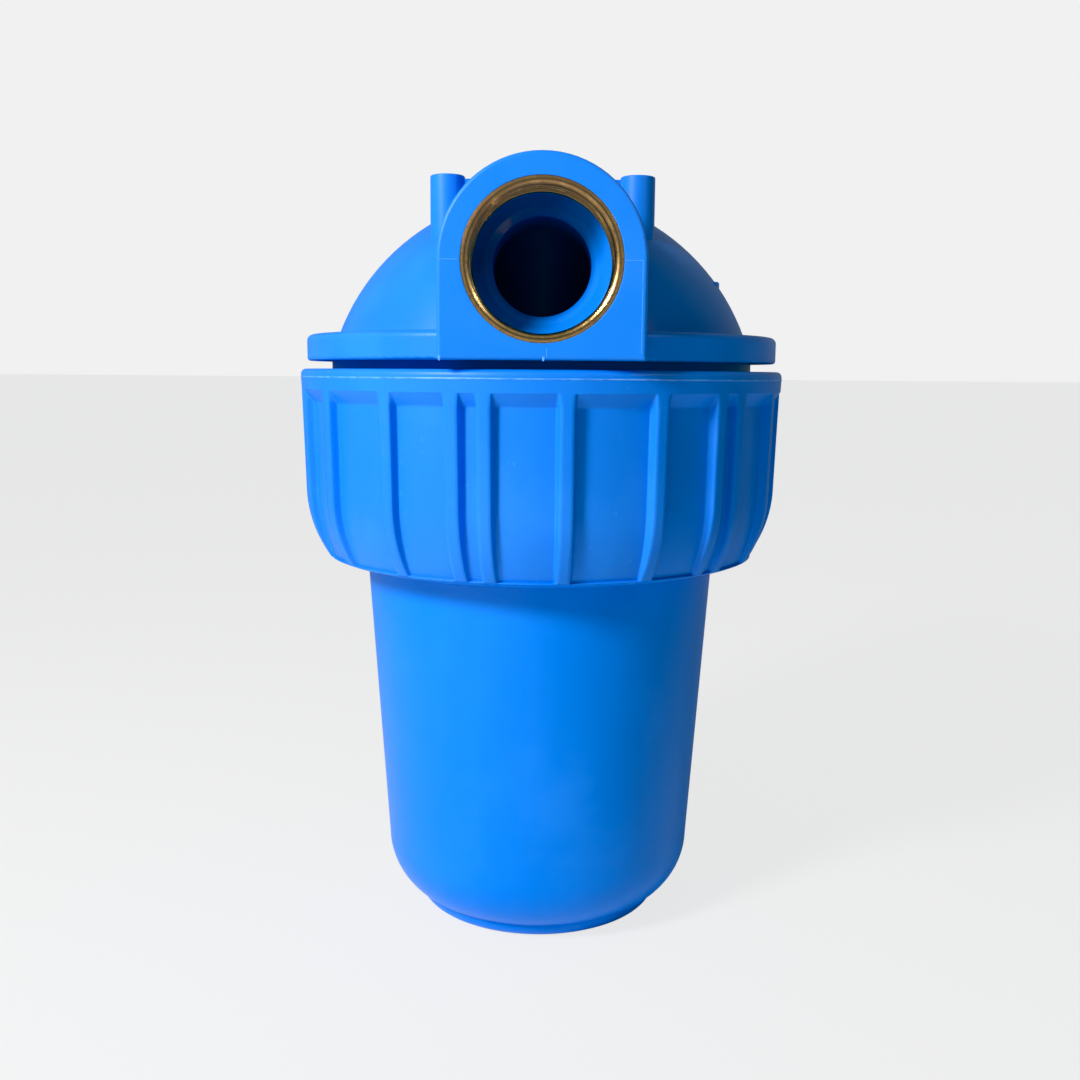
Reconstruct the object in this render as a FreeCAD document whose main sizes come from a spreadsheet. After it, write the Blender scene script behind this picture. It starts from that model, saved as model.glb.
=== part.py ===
"""Cartridge filter housing: a domed head with two ports, a ring nut, a bowl and a pleated cartridge.

Millimetres, +Z up. The origin is the centre of the bowl's foot, on the surface that it stands on.
The inlet port faces -Y and the outlet port faces +Y.
"""
import FreeCAD, Part

import math
import os

import Sketcher
from FreeCAD import Placement, Rotation, Vector

# ---------------------------------------------------------------- driving dimensions
SIZES = {
    # bowl: foot, wall, flare and rim
    "foot_flat_r": 28.5,
    "foot_edge_r": 4.2,
    "foot_recess_r": 24.0,
    "foot_recess_depth": 1.2,
    "crease_r": 33.5,
    "corner_z": 18.5,
    "corner_round": 17.4,
    "bowl_low_r": 40.8,
    "bowl_high_r": 46.1,
    "bowl_wall": 4.0,
    "flare_z": 97.4,
    "rim_r": 54.2,
    "rim_z": 110.0,
    "rim_inner_r": 46.8,
    "ring_groove_in_r": 48.6,
    "ring_groove_out_r": 52.4,
    "ring_groove_depth": 3.3,
    "ring_cord_r": 1.75,
    # ring nut
    "seat_gap": 0.5,
    "nut_mouth": 0.8,
    "nut_bottom_z": 94.4,
    "nut_top_z": 143.3,
    "nut_r": 62.5,
    "nut_edge_round": 1.3,
    "parting_z": 141.3,
    "band_bottom_z": 138.3,
    "band_low_r": 62.2,
    "panel_top_z": 135.2,
    "panel_top_r": 59.9,
    "panel_low_r": 59.4,
    "panel_curve": 37.4,
    "curve_z": 113.5,
    "rib_low_r": 61.45,
    "rib_curve": 31.0,
    "rib_angle": 3.3,
    "rib_root_r": 57.8,
    "rib_root_depth": 1.0,
    "rim_band_z": 96.2,
    "rim_band_step": 0.3,
    "foot_bevel_r": 54.3,
    "foot_bevel_z": 95.2,
    "nut_foot_r": 51.5,
    "nut_hole_r": 47.3,
    "nut_seat_r": 54.9,
    "nut_bore_r": 56.6,
    "bore_low_z": 111.0,
    "rib_pairs": 6,
    "first_pair_angle": -15.0,
    "pair_half_angle": 3.45,
    "single_step_angle": 20.3,
    # two-start trapezoidal thread between the head and the ring nut
    "thread_lead": 12.0,
    "thread_starts": 2,
    "thread_base": 3.4,
    "thread_crest": 1.8,
    "thread_sink": 0.3,
    "head_thread_r": 56.2,
    "head_thread_z": 117.0,
    "head_thread_rise": 18.0,
    "nut_thread_r": 54.8,
    "nut_thread_z": 120.0,
    "nut_thread_rise": 17.0,
    # head: skirt, flange, dome
    "skirt_bottom_z": 110.5,
    "skirt_inner_r": 47.6,
    "neck_r": 54.4,
    "neck_chamfer": 0.8,
    "flange_r": 60.6,
    "flange_bottom_z": 145.3,
    "flange_top_z": 151.8,
    "flange_round": 1.5,
    "dome_r": 56.2,
    "dome_centre_z": 131.9,
    "dome_wall": 4.7,
    # ports and the outlet spigot; each brass face stands a little proud of its block's face
    "port_z": 166.0,
    "port_block_r": 22.2,
    "port_reach": 63.0,
    "port_face_y": 62.95,
    "port_edge_round": 0.8,
    "port_bore_r": 11.0,
    "port_step_r": 12.9,
    "port_step_y": 48.0,
    "port_throat_y": 46.5,
    "inlet_end_y": 20.0,
    "outlet_arm_r": 15.0,
    "outlet_arm_y": 46.0,
    "spigot_r": 17.0,
    "spigot_top_z": 184.0,
    "spigot_gap": 0.3,
    "nose_r": 13.4,
    "nose_length": 6.0,
    "nose_bore_r": 10.5,
    # brass insert with a G1 internal thread
    "insert_face_r": 17.2,
    "insert_body_r": 18.8,
    "insert_length": 11.0,
    "insert_collar": 2.0,
    "insert_tail": 1.5,
    "insert_bore_r": 15.15,
    "insert_mouth": 1.5,
    # screw bosses on top and the blank raised ledge on the dome's +X side
    "boss_x": 22.75,
    "boss_y": 23.5,
    "boss_r": 4.15,
    "boss_top_z": 189.1,
    "boss_round": 0.4,
    "boss_hole_r": 2.0,
    "boss_hole_depth": 13.0,
    "web_top_z": 188.3,
    "web_thickness": 3.0,
    "plate_r": 45.9,
    "plate_root_r": 43.4,
    "plate_angle": 34.0,
    "plate_top_z": 165.6,
    "plate_height": 5.0,
    # cartridge, nominal 5 inch
    "cartridge_z": 8.5,
    "cartridge_length": 127.0,
    "cap_r": 30.0,
    "cap_rim": 1.6,
    "cap_depth": 9.0,
    "cap_web": 1.6,
    "cap_hole_r": 14.4,
    "gasket_r": 21.0,
    "gasket_thickness": 2.0,
    "gasket_proud": 1.0,
    "gasket_gap": 0.3,
    "core_inner_r": 15.2,
    "core_outer_r": 17.2,
    "core_hole_r": 2.3,
    "core_hole_rows": 10,
    "core_hole_pitch": 11.5,
    "core_hole_columns": 6,
    "pleat_count": 36,
    "pleat_tip_r": 28.0,
    "pleat_root_r": 17.7,
    "pleat_cloth": 2.5,
    "media_gap": 0.1,
    # centring post inside the bowl
    "post_inner_r": 10.5,
    "post_r": 13.4,
    "post_top_z": 14.0,
    "post_seat_r": 17.0,
    "post_seat_gap": 0.3,
    # how far a cut runs past the face that it opens
    "cut_past": 1.0,
}

# lengths closer together than this, in millimetres, count as the same
NEAR = 0.01

# a sketch's own axes and the centre point of a circle or arc, as its constraints number them
H_AXIS = -1
V_AXIS = -2
CENTRE = 3


class Size:
    """A number together with the spreadsheet expression that gives it."""

    def __init__(self, value, text):
        self.value = value
        self.text = text

    def __add__(self, other):
        other = as_size(other)
        return Size(self.value + other.value, "(%s + %s)" % (self.text, other.text))

    def __sub__(self, other):
        other = as_size(other)
        return Size(self.value - other.value, "(%s - %s)" % (self.text, other.text))

    def __mul__(self, other):
        other = as_size(other)
        return Size(self.value * other.value, "(%s * %s)" % (self.text, other.text))

    def __truediv__(self, other):
        other = as_size(other)
        return Size(self.value / other.value, "(%s / %s)" % (self.text, other.text))

    def __neg__(self):
        return Size(-self.value, "(-1 * %s)" % self.text)


def as_size(number):
    """The number as a Size; a plain number stands for itself."""
    if isinstance(number, Size):
        return number
    return Size(float(number), repr(number))


def leg(longest, other):
    """The third side of a right triangle, from its longest side and one other."""
    value = math.sqrt(longest.value ** 2 - other.value ** 2)
    return Size(value, "sqrt(%s ^ 2 - %s ^ 2)" % (longest.text, other.text))


def size_sheet(doc):
    """Spreadsheet with one named cell for each driving dimension."""
    sheet = doc.addObject("Spreadsheet::Sheet", "Sizes")
    for row, (name, number) in enumerate(SIZES.items(), 1):
        sheet.set("A%d" % row, name)
        sheet.set("B%d" % row, str(number))
        sheet.setAlias("B%d" % row, name)
    return {name: Size(float(number), "Sizes." + name) for name, number in SIZES.items()}


# ---------------------------------------------------------------- sketch and feature helpers
def new_body(doc, label):
    """Empty PartDesign body whose label names its node."""
    body = doc.addObject("PartDesign::Body", label)
    body.Label = label
    return body


def new_sketch(body, name, plane, lift=0):
    """Sketch on one of the body's origin planes, raised above it by lift."""
    sketch = body.newObject("Sketcher::SketchObject", name)
    origin_plane = [item for item in body.Origin.OriginFeatures if item.Role == plane][0]
    sketch.AttachmentSupport = [(origin_plane, "")]
    sketch.MapMode = "FlatFace"
    lift = as_size(lift)
    sketch.AttachmentOffset = Placement(Vector(0, 0, lift.value), Rotation())
    sketch.setExpression("AttachmentOffset.Base.z", lift.text)
    return sketch


def pin_coordinate(sketch, geometry, point, kind, size):
    """Fix one coordinate of a point to the size that it comes from."""
    size = as_size(size)
    if size.value == 0:
        axis = V_AXIS if kind == "DistanceX" else H_AXIS
        sketch.addConstraint(Sketcher.Constraint("PointOnObject", geometry, point, axis))
        return
    rule = Sketcher.Constraint(kind, H_AXIS, 1, geometry, point, size.value)
    number = sketch.addConstraint(rule)
    sketch.setExpression("Constraints[%d]" % number, size.text)


def pin_point(sketch, geometry, point, across, along):
    """Fix both coordinates of a point."""
    pin_coordinate(sketch, geometry, point, "DistanceX", across)
    pin_coordinate(sketch, geometry, point, "DistanceY", along)


def flat(size):
    """The plain value of a size."""
    return as_size(size).value


def outline(sketch, corners):
    """Closed outline through the corners.

    A corner is (across, along), reached by a straight line, or (across, along, centre, turn), reached
    by an arc about centre, with turn 1 anticlockwise and -1 clockwise.
    """
    first = sketch.GeometryCount
    count = len(corners)
    edge_ends = []
    for index, corner in enumerate(corners):
        before = corners[index - 1]
        start = Vector(flat(before[0]), flat(before[1]), 0)
        end = Vector(flat(corner[0]), flat(corner[1]), 0)
        if len(corner) == 2:
            sketch.addGeometry(Part.LineSegment(start, end))
            edge_ends.append((1, 2))
            continue
        centre = Vector(flat(corner[2][0]), flat(corner[2][1]), 0)
        circle = Part.Circle(centre, Vector(0, 0, 1), (end - centre).Length)
        turn = corner[3]
        low, high = (start, end) if turn > 0 else (end, start)
        low_angle = math.atan2(low.y - centre.y, low.x - centre.x)
        high_angle = math.atan2(high.y - centre.y, high.x - centre.x)
        sketch.addGeometry(Part.ArcOfCircle(circle, low_angle, high_angle))
        edge_ends.append((1, 2) if turn > 0 else (2, 1))
    for index, corner in enumerate(corners):
        here = first + index
        after = first + (index + 1) % count
        end_point = edge_ends[index][1]
        next_start = edge_ends[(index + 1) % count][0]
        sketch.addConstraint(Sketcher.Constraint("Coincident", here, end_point, after, next_start))
        pin_point(sketch, here, end_point, corner[0], corner[1])
    for index, corner in enumerate(corners):
        if len(corner) == 4:
            pin_centre(sketch, first + index, corners[index - 1], corner)
    return sketch


def pin_centre(sketch, geometry, before, corner):
    """Fix an arc's centre along the line midway between its ends, which are fixed already."""
    chord_across = abs(flat(corner[0]) - flat(before[0]))
    chord_along = abs(flat(corner[1]) - flat(before[1]))
    across, along = corner[2]
    if chord_across >= chord_along:
        pin_coordinate(sketch, geometry, CENTRE, "DistanceY", along)
    else:
        pin_coordinate(sketch, geometry, CENTRE, "DistanceX", across)


def circles(sketch, centres, radius):
    """Circles of one radius about the given centres."""
    for across, along in centres:
        middle = Vector(flat(across), flat(along), 0)
        number = sketch.addGeometry(Part.Circle(middle, Vector(0, 0, 1), radius.value))
        pin_point(sketch, number, CENTRE, across, along)
        rule = sketch.addConstraint(Sketcher.Constraint("Radius", number, radius.value))
        sketch.setExpression("Constraints[%d]" % rule, radius.text)
    return sketch


def turn(body, kind, name, sketch, angle=360, axis="V_Axis"):
    """Revolution or Groove of a sketch about an axis; a part turn is centred on the sketch."""
    feature = body.newObject("PartDesign::" + kind, name)
    feature.Profile = sketch
    feature.ReferenceAxis = (sketch, [axis])
    angle = as_size(angle)
    feature.Angle = angle.value
    if angle.value < 360:
        feature.Midplane = True
    feature.setExpression("Angle", angle.text)
    return feature


def extrude(body, kind, name, sketch, length, symmetric=False, reverse=False):
    """Pad or Pocket of a sketch."""
    feature = body.newObject("PartDesign::" + kind, name)
    feature.Profile = sketch
    length = as_size(length)
    feature.Length = length.value
    feature.setExpression("Length", length.text)
    if symmetric:
        feature.SideType = "Symmetric"
    feature.Reversed = reverse
    return feature


def polar(body, name, originals, count, angle=360):
    """Copies of the features about the vertical axis, and the body's new tip."""
    pattern = body.newObject("PartDesign::PolarPattern", name)
    pattern.Originals = originals
    upright = [item for item in body.Origin.OriginFeatures if item.Role == "Z_Axis"][0]
    pattern.Axis = (upright, [""])
    pattern.Angle = angle
    count = as_size(count)
    pattern.Occurrences = int(count.value)
    pattern.setExpression("Occurrences", count.text)
    body.Tip = pattern
    return pattern


def round_edges(body, name, edges, radius):
    """Fillet of the named edges of the body's last feature."""
    last = body.Tip
    feature = body.newObject("PartDesign::Fillet", name)
    feature.Base = (last, edges)
    feature.Radius = radius.value
    feature.setExpression("Radius", radius.text)
    body.Tip = feature
    return feature


def ring_edges(shape, rings):
    """Names of the level circles with the given (radius, height) pairs."""
    names = []
    for number, edge in enumerate(shape.Edges, 1):
        curve = edge.Curve
        if curve.TypeId != "Part::GeomCircle" or abs(curve.Axis.z) < 1 - NEAR:
            continue
        for radius, height in rings:
            same_size = abs(curve.Radius - radius.value) < NEAR
            if same_size and abs(curve.Center.z - height.value) < NEAR:
                names.append("Edge%d" % number)
    return names


def face_edges(shape, distance, keep_above):
    """Names of the edges in the planes y = +-distance that aren't circles smaller than keep_above."""
    names = []
    for number, edge in enumerate(shape.Edges, 1):
        box = edge.BoundBox
        in_plane = box.YMax - box.YMin < NEAR and abs(abs(box.YMax) - distance.value) < NEAR
        round_hole = edge.Curve.TypeId == "Part::GeomCircle" and edge.Curve.Radius < keep_above.value
        if in_plane and not round_hole:
            names.append("Edge%d" % number)
    return names


def thread(body, name, root_r, crest_r, start_z, rise, s):
    """Trapezoidal ridges of a two-start right-hand thread, sunk a little into their wall."""
    outward = 1 if crest_r.value > root_r.value else -1
    sunk_r = root_r - s["thread_sink"] * outward
    half_base = s["thread_base"] / 2
    half_crest = s["thread_crest"] / 2
    sketch = new_sketch(body, name + "Section", "XZ_Plane")
    outline(sketch, [
        (sunk_r, start_z - half_base),
        (crest_r, start_z - half_crest),
        (crest_r, start_z + half_crest),
        (sunk_r, start_z + half_base),
    ])
    ridge = body.newObject("PartDesign::AdditiveHelix", name)
    ridge.Profile = sketch
    ridge.ReferenceAxis = (sketch, ["V_Axis"])
    ridge.Mode = "pitch-height-angle"
    ridge.Pitch = s["thread_lead"].value
    ridge.setExpression("Pitch", s["thread_lead"].text)
    ridge.Height = rise.value
    ridge.setExpression("Height", rise.text)
    body.Document.recompute()
    polar(body, name + "Starts", [ridge], s["thread_starts"])


# ---------------------------------------------------------------- head
def port_cutout(body, name, side, inner_y, s):
    """Hollow of one port: the insert's seat, a stepped throat and the bore as far as inner_y."""
    sketch = new_sketch(body, name + "Outline", "YZ_Plane")
    axis_z = s["port_z"]
    reach = s["port_reach"]
    seat_end = reach - s["insert_length"]
    collar_end = reach - s["insert_collar"]
    body_end = seat_end + s["insert_tail"]
    steps = [
        (reach + s["cut_past"], as_size(0)),
        (reach + s["cut_past"], s["insert_face_r"]),
        (collar_end, s["insert_face_r"]),
        (collar_end, s["insert_body_r"]),
        (body_end, s["insert_body_r"]),
        (body_end, s["insert_face_r"]),
        (seat_end, s["insert_face_r"]),
        (seat_end, s["insert_bore_r"]),
        (s["port_step_y"], s["port_step_r"]),
        (s["port_throat_y"], s["port_bore_r"]),
        (inner_y, s["port_bore_r"]),
        (inner_y, as_size(0)),
    ]
    outline(sketch, [(as_size(y) * side, axis_z + r) for y, r in steps])
    centre_line = Part.LineSegment(Vector(0, axis_z.value, 0), Vector(1, axis_z.value, 0))
    line = sketch.addGeometry(centre_line, True)
    pin_point(sketch, line, 1, 0, axis_z)
    pin_point(sketch, line, 2, 1, axis_z)
    turn(body, "Groove", name, sketch, axis="Axis0")


def make_head(doc, s):
    """Domed head in one moulding: skirt, flange, dome, port blocks, bosses and outlet spigot."""
    body = new_body(doc, "head")
    width = s["port_block_r"]
    sketch = new_sketch(body, "PortBlockOutline", "XZ_Plane")
    outline(sketch, [
        (-width, s["flange_bottom_z"]),
        (width, s["flange_bottom_z"]),
        (width, s["port_z"]),
        (-width, s["port_z"], (0, s["port_z"]), 1),
    ])
    extrude(body, "Pad", "PortBlocks", sketch, s["port_face_y"] * 2, symmetric=True)
    doc.recompute()
    edges = face_edges(body.Shape, s["port_face_y"], s["insert_face_r"])
    round_edges(body, "PortRounds", edges, s["port_edge_round"])

    flange_rise = s["flange_top_z"] - s["dome_centre_z"]
    dome_foot_r = leg(s["dome_r"], flange_rise)
    dome_centre = (0, s["dome_centre_z"])
    flange_low_round = s["flange_round"] / 2
    low_centre = (s["flange_r"] - flange_low_round, s["flange_bottom_z"] + flange_low_round)
    top_centre = (s["flange_r"] - s["flange_round"], s["flange_top_z"] - s["flange_round"])
    sketch = new_sketch(body, "HeadOutline", "XZ_Plane")
    outline(sketch, [
        (0, s["skirt_bottom_z"]),
        (s["neck_r"] - s["neck_chamfer"], s["skirt_bottom_z"]),
        (s["neck_r"], s["skirt_bottom_z"] + s["neck_chamfer"]),
        (s["neck_r"], s["flange_bottom_z"]),
        (s["flange_r"] - flange_low_round, s["flange_bottom_z"]),
        (s["flange_r"], low_centre[1], low_centre, 1),
        (s["flange_r"], top_centre[1]),
        (top_centre[0], s["flange_top_z"], top_centre, 1),
        (dome_foot_r, s["flange_top_z"]),
        (0, s["dome_centre_z"] + s["dome_r"], dome_centre, 1),
    ])
    turn(body, "Revolution", "HeadSolid", sketch)

    webs = new_sketch(body, "WebOutline", "XY_Plane", s["port_z"])
    half_web = s["web_thickness"] / 2
    for side in (-1, 1):
        near_y = s["boss_y"] * side - half_web
        far_y = s["boss_y"] * side + half_web
        outline(webs, [
            (-s["boss_x"], near_y), (s["boss_x"], near_y),
            (s["boss_x"], far_y), (-s["boss_x"], far_y),
        ])
    extrude(body, "Pad", "Webs", webs, s["web_top_z"] - s["port_z"])

    places = [(s["boss_x"] * i, s["boss_y"] * j) for i in (-1, 1) for j in (-1, 1)]
    sketch = circles(new_sketch(body, "BossOutline", "XY_Plane", s["port_z"]), places, s["boss_r"])
    extrude(body, "Pad", "Bosses", sketch, s["boss_top_z"] - s["port_z"])
    doc.recompute()
    edges = ring_edges(body.Shape, [(s["boss_r"], s["boss_top_z"])])
    round_edges(body, "BossRounds", edges, s["boss_round"])

    plate_low_z = s["plate_top_z"] - s["plate_height"]
    sketch = new_sketch(body, "PlateOutline", "XZ_Plane")
    outline(sketch, [
        (s["plate_root_r"], plate_low_z),
        (s["plate_r"], plate_low_z),
        (s["plate_r"], s["plate_top_z"]),
        (s["plate_root_r"], s["plate_top_z"]),
    ])
    turn(body, "Revolution", "BlankPlate", sketch, s["plate_angle"])

    chamber_r = s["dome_r"] - s["dome_wall"]
    skirt_top_z = s["dome_centre_z"] + leg(chamber_r, s["skirt_inner_r"])
    sketch = new_sketch(body, "ChamberOutline", "XZ_Plane")
    outline(sketch, [
        (0, s["skirt_bottom_z"] - s["cut_past"]),
        (s["skirt_inner_r"], s["skirt_bottom_z"] - s["cut_past"]),
        (s["skirt_inner_r"], skirt_top_z),
        (0, s["dome_centre_z"] + chamber_r, dome_centre, 1),
    ])
    turn(body, "Groove", "Chamber", sketch)

    seat_z = s["cartridge_z"] + s["cartridge_length"] + s["spigot_gap"]
    nose_z = seat_z - s["nose_length"]
    sketch = new_sketch(body, "SpigotOutline", "XZ_Plane")
    outline(sketch, [
        (0, nose_z),
        (s["nose_r"], nose_z),
        (s["nose_r"], seat_z),
        (s["spigot_r"], seat_z),
        (s["spigot_r"], s["spigot_top_z"]),
        (0, s["spigot_top_z"]),
    ])
    turn(body, "Revolution", "Spigot", sketch)
    sketch = new_sketch(body, "OutletArmOutline", "XZ_Plane")
    circles(sketch, [(0, s["port_z"])], s["outlet_arm_r"])
    extrude(body, "Pad", "OutletArm", sketch, s["outlet_arm_y"], reverse=True)

    sketch = new_sketch(body, "SpigotBoreOutline", "XZ_Plane")
    outline(sketch, [
        (0, nose_z - s["cut_past"]),
        (s["nose_bore_r"], nose_z - s["cut_past"]),
        (s["nose_bore_r"], s["port_z"]),
        (0, s["port_z"]),
    ])
    turn(body, "Groove", "SpigotBore", sketch)
    port_cutout(body, "InletPort", -1, s["inlet_end_y"], s)
    port_cutout(body, "OutletPort", 1, as_size(0), s)

    top = new_sketch(body, "BossHoleOutline", "XY_Plane", s["boss_top_z"])
    extrude(body, "Pocket", "BossHoles", circles(top, places, s["boss_hole_r"]), s["boss_hole_depth"])
    thread(body, "HeadThread", s["neck_r"], s["head_thread_r"], s["head_thread_z"],
           s["head_thread_rise"], s)
    return body


# ---------------------------------------------------------------- brass insert
def make_insert(doc, label, side, s):
    """Brass ring moulded into a port, with a chamfered mouth and a plain bore at the thread's minor
    radius. It is drawn with its face at z = 0 and turned so that the face looks along side * Y.
    """
    body = new_body(doc, label)
    sketch = new_sketch(body, "InsertOutline", "XZ_Plane")
    tail_z = s["insert_tail"] - s["insert_length"]
    outline(sketch, [
        (s["insert_bore_r"], -s["insert_length"]),
        (s["insert_face_r"], -s["insert_length"]),
        (s["insert_face_r"], tail_z),
        (s["insert_body_r"], tail_z),
        (s["insert_body_r"], -s["insert_collar"]),
        (s["insert_face_r"], -s["insert_collar"]),
        (s["insert_face_r"], 0),
        (s["insert_bore_r"] + s["insert_mouth"], 0),
        (s["insert_bore_r"], -s["insert_mouth"]),
    ])
    turn(body, "Revolution", "InsertRing", sketch)
    face = Vector(0, side * s["port_reach"].value, s["port_z"].value)
    body.Placement = Placement(face, Rotation(Vector(1, 0, 0), -90 * side))
    body.setExpression("Placement.Base.y", "%d * %s" % (side, s["port_reach"].text))
    body.setExpression("Placement.Base.z", s["port_z"].text)
    return body


# ---------------------------------------------------------------- ring nut
def make_ring_nut(doc, s):
    """Ring nut: lip band, recessed panels between upright ribs, curved foot and internal thread."""
    body = new_body(doc, "ring_nut")
    curve_z = s["curve_z"]
    panel_centre = (s["panel_low_r"] - s["panel_curve"], curve_z)
    rib_centre = (s["rib_low_r"] - s["rib_curve"], curve_z)
    drop = curve_z - s["rim_band_z"]
    panel_end_r = panel_centre[0] + leg(s["panel_curve"], drop)
    rib_end_r = rib_centre[0] + leg(s["rib_curve"], drop)
    edge = s["nut_edge_round"]
    seat_low_z = s["flare_z"] + (s["nut_hole_r"] - s["bowl_high_r"]) - s["seat_gap"]
    seat_high_z = seat_low_z + (s["nut_seat_r"] - s["nut_hole_r"])
    step = s["nut_bore_r"] - s["nut_seat_r"]
    mouth = s["nut_mouth"]
    sketch = new_sketch(body, "NutOutline", "XZ_Plane")
    outline(sketch, [
        (s["nut_bore_r"] + mouth, s["nut_top_z"]),
        (s["nut_r"] - edge, s["nut_top_z"]),
        (s["nut_r"], s["nut_top_z"] - edge, (s["nut_r"] - edge, s["nut_top_z"] - edge), -1),
        (s["nut_r"], s["parting_z"]),
        (s["band_low_r"], s["band_bottom_z"]),
        (s["panel_top_r"], s["panel_top_z"]),
        (s["panel_low_r"], curve_z),
        (panel_end_r, s["rim_band_z"], panel_centre, -1),
        (rib_end_r, s["rim_band_z"] - s["rim_band_step"]),
        (s["foot_bevel_r"], s["foot_bevel_z"]),
        (s["nut_foot_r"], s["nut_bottom_z"]),
        (s["nut_hole_r"], s["nut_bottom_z"]),
        (s["nut_hole_r"], seat_low_z),
        (s["nut_seat_r"], seat_high_z),
        (s["nut_seat_r"], s["bore_low_z"]),
        (s["nut_bore_r"], s["bore_low_z"] + step),
        (s["nut_bore_r"], s["nut_top_z"] - mouth),
    ])
    turn(body, "Revolution", "NutShell", sketch)

    first = s["first_pair_angle"]
    angles = [
        first - s["pair_half_angle"],
        first + s["pair_half_angle"],
        first + s["single_step_angle"],
        first + s["single_step_angle"] * 2,
    ]
    root_r = s["rib_root_r"]
    ribs = []
    for number, angle in enumerate(angles, 1):
        sketch = new_sketch(body, "RibOutline%d" % number, "XZ_Plane")
        # rib angles count from -Y towards +X, and the sketch starts out facing +X
        sketch.AttachmentOffset = Placement(Vector(0, 0, 0), Rotation(Vector(0, 1, 0), angle.value - 90))
        sketch.setExpression("AttachmentOffset.Rotation.Angle", "%s - 90" % angle.text)
        outline(sketch, [
            (root_r, s["band_bottom_z"]),
            (s["band_low_r"], s["band_bottom_z"]),
            (s["rib_low_r"], curve_z),
            (rib_end_r, s["rim_band_z"], rib_centre, -1),
            (panel_end_r - s["rib_root_depth"], s["rim_band_z"]),
            (root_r, curve_z),
        ])
        ribs.append(turn(body, "Revolution", "Rib%d" % number, sketch, s["rib_angle"]))
    doc.recompute()
    polar(body, "Ribs", ribs, s["rib_pairs"])
    thread(body, "NutThread", s["nut_bore_r"], s["nut_thread_r"], s["nut_thread_z"],
           s["nut_thread_rise"], s)
    return body


# ---------------------------------------------------------------- bowl and its O-ring
def make_bowl(doc, s):
    """Tapered bowl: foot ring, rounded corner, wall, conical flare, rim with an O-ring groove, and
    the post inside that centres the cartridge.
    """
    body = new_body(doc, "bowl")
    wall = s["bowl_wall"]
    corner_centre = (s["bowl_low_r"] - s["corner_round"], s["corner_z"])
    crease_across = s["crease_r"] - corner_centre[0]
    crease_z = s["corner_z"] - leg(s["corner_round"], crease_across)
    foot_centre = (s["foot_flat_r"], s["foot_edge_r"])
    flare_top_z = s["flare_z"] + (s["rim_r"] - s["bowl_high_r"])
    groove_z = s["rim_z"] - s["ring_groove_depth"]
    inner_round = s["corner_round"] - wall
    floor_z = s["corner_z"] - inner_round
    inner_high_r = s["bowl_high_r"] - wall
    inner_flare_z = flare_top_z - wall / 2
    post_seat_z = s["cartridge_z"] - s["post_seat_gap"]
    sketch = new_sketch(body, "BowlOutline", "XZ_Plane")
    outline(sketch, [
        (0, s["foot_recess_depth"]),
        (s["foot_recess_r"] - s["foot_recess_depth"], s["foot_recess_depth"]),
        (s["foot_recess_r"], 0),
        (s["foot_flat_r"], 0),
        (s["foot_flat_r"] + s["foot_edge_r"], s["foot_edge_r"], foot_centre, 1),
        (s["crease_r"], crease_z),
        (s["bowl_low_r"], s["corner_z"], corner_centre, 1),
        (s["bowl_high_r"], s["flare_z"]),
        (s["rim_r"], flare_top_z),
        (s["rim_r"], s["rim_z"]),
        (s["ring_groove_out_r"], s["rim_z"]),
        (s["ring_groove_out_r"], groove_z),
        (s["ring_groove_in_r"], groove_z),
        (s["ring_groove_in_r"], s["rim_z"]),
        (s["rim_inner_r"], s["rim_z"]),
        (s["rim_inner_r"], inner_flare_z),
        (inner_high_r, s["flare_z"]),
        (s["bowl_low_r"] - wall, s["corner_z"]),
        (corner_centre[0], floor_z, corner_centre, -1),
        (s["post_seat_r"], floor_z),
        (s["post_seat_r"], post_seat_z),
        (s["post_r"], post_seat_z),
        (s["post_r"], s["post_top_z"]),
        (s["post_inner_r"], s["post_top_z"]),
        (s["post_inner_r"], floor_z),
        (0, floor_z),
    ])
    turn(body, "Revolution", "BowlWall", sketch)
    return body


def make_bowl_oring(doc, s):
    """Rubber O-ring lying in the groove of the bowl's rim."""
    ring = doc.addObject("Part::Torus", "bowl_oring")
    ring.Label = "bowl_oring"
    middle_r = (s["ring_groove_in_r"] + s["ring_groove_out_r"]) / 2
    height = s["rim_z"] - s["ring_groove_depth"] + s["ring_cord_r"]
    ring.setExpression("Radius1", middle_r.text)
    ring.setExpression("Radius2", s["ring_cord_r"].text)
    ring.setExpression("Placement.Base.z", height.text)
    return ring


# ---------------------------------------------------------------- cartridge
def from_end(s, end, depth):
    """Height at a depth inside the cartridge, from its bottom end (0) or its top end (1)."""
    if end == 0:
        return s["cartridge_z"] + depth
    return s["cartridge_z"] + s["cartridge_length"] - depth


def make_cap(doc, label, end, s):
    """Moulded end cap: a cup with a shallow recess for its gasket."""
    body = new_body(doc, label)
    recess = s["gasket_thickness"]
    web = recess + s["cap_web"]
    steps = [
        (s["cap_hole_r"], recess),
        (s["gasket_r"] + s["gasket_gap"], recess),
        (s["gasket_r"] + s["gasket_gap"], s["gasket_proud"]),
        (s["cap_r"], s["gasket_proud"]),
        (s["cap_r"], s["cap_depth"]),
        (s["cap_r"] - s["cap_rim"], s["cap_depth"]),
        (s["cap_r"] - s["cap_rim"], web),
        (s["cap_hole_r"], web),
    ]
    sketch = new_sketch(body, "CapOutline", "XZ_Plane")
    outline(sketch, [(r, from_end(s, end, depth)) for r, depth in steps])
    turn(body, "Revolution", "Cap", sketch)
    return body


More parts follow.
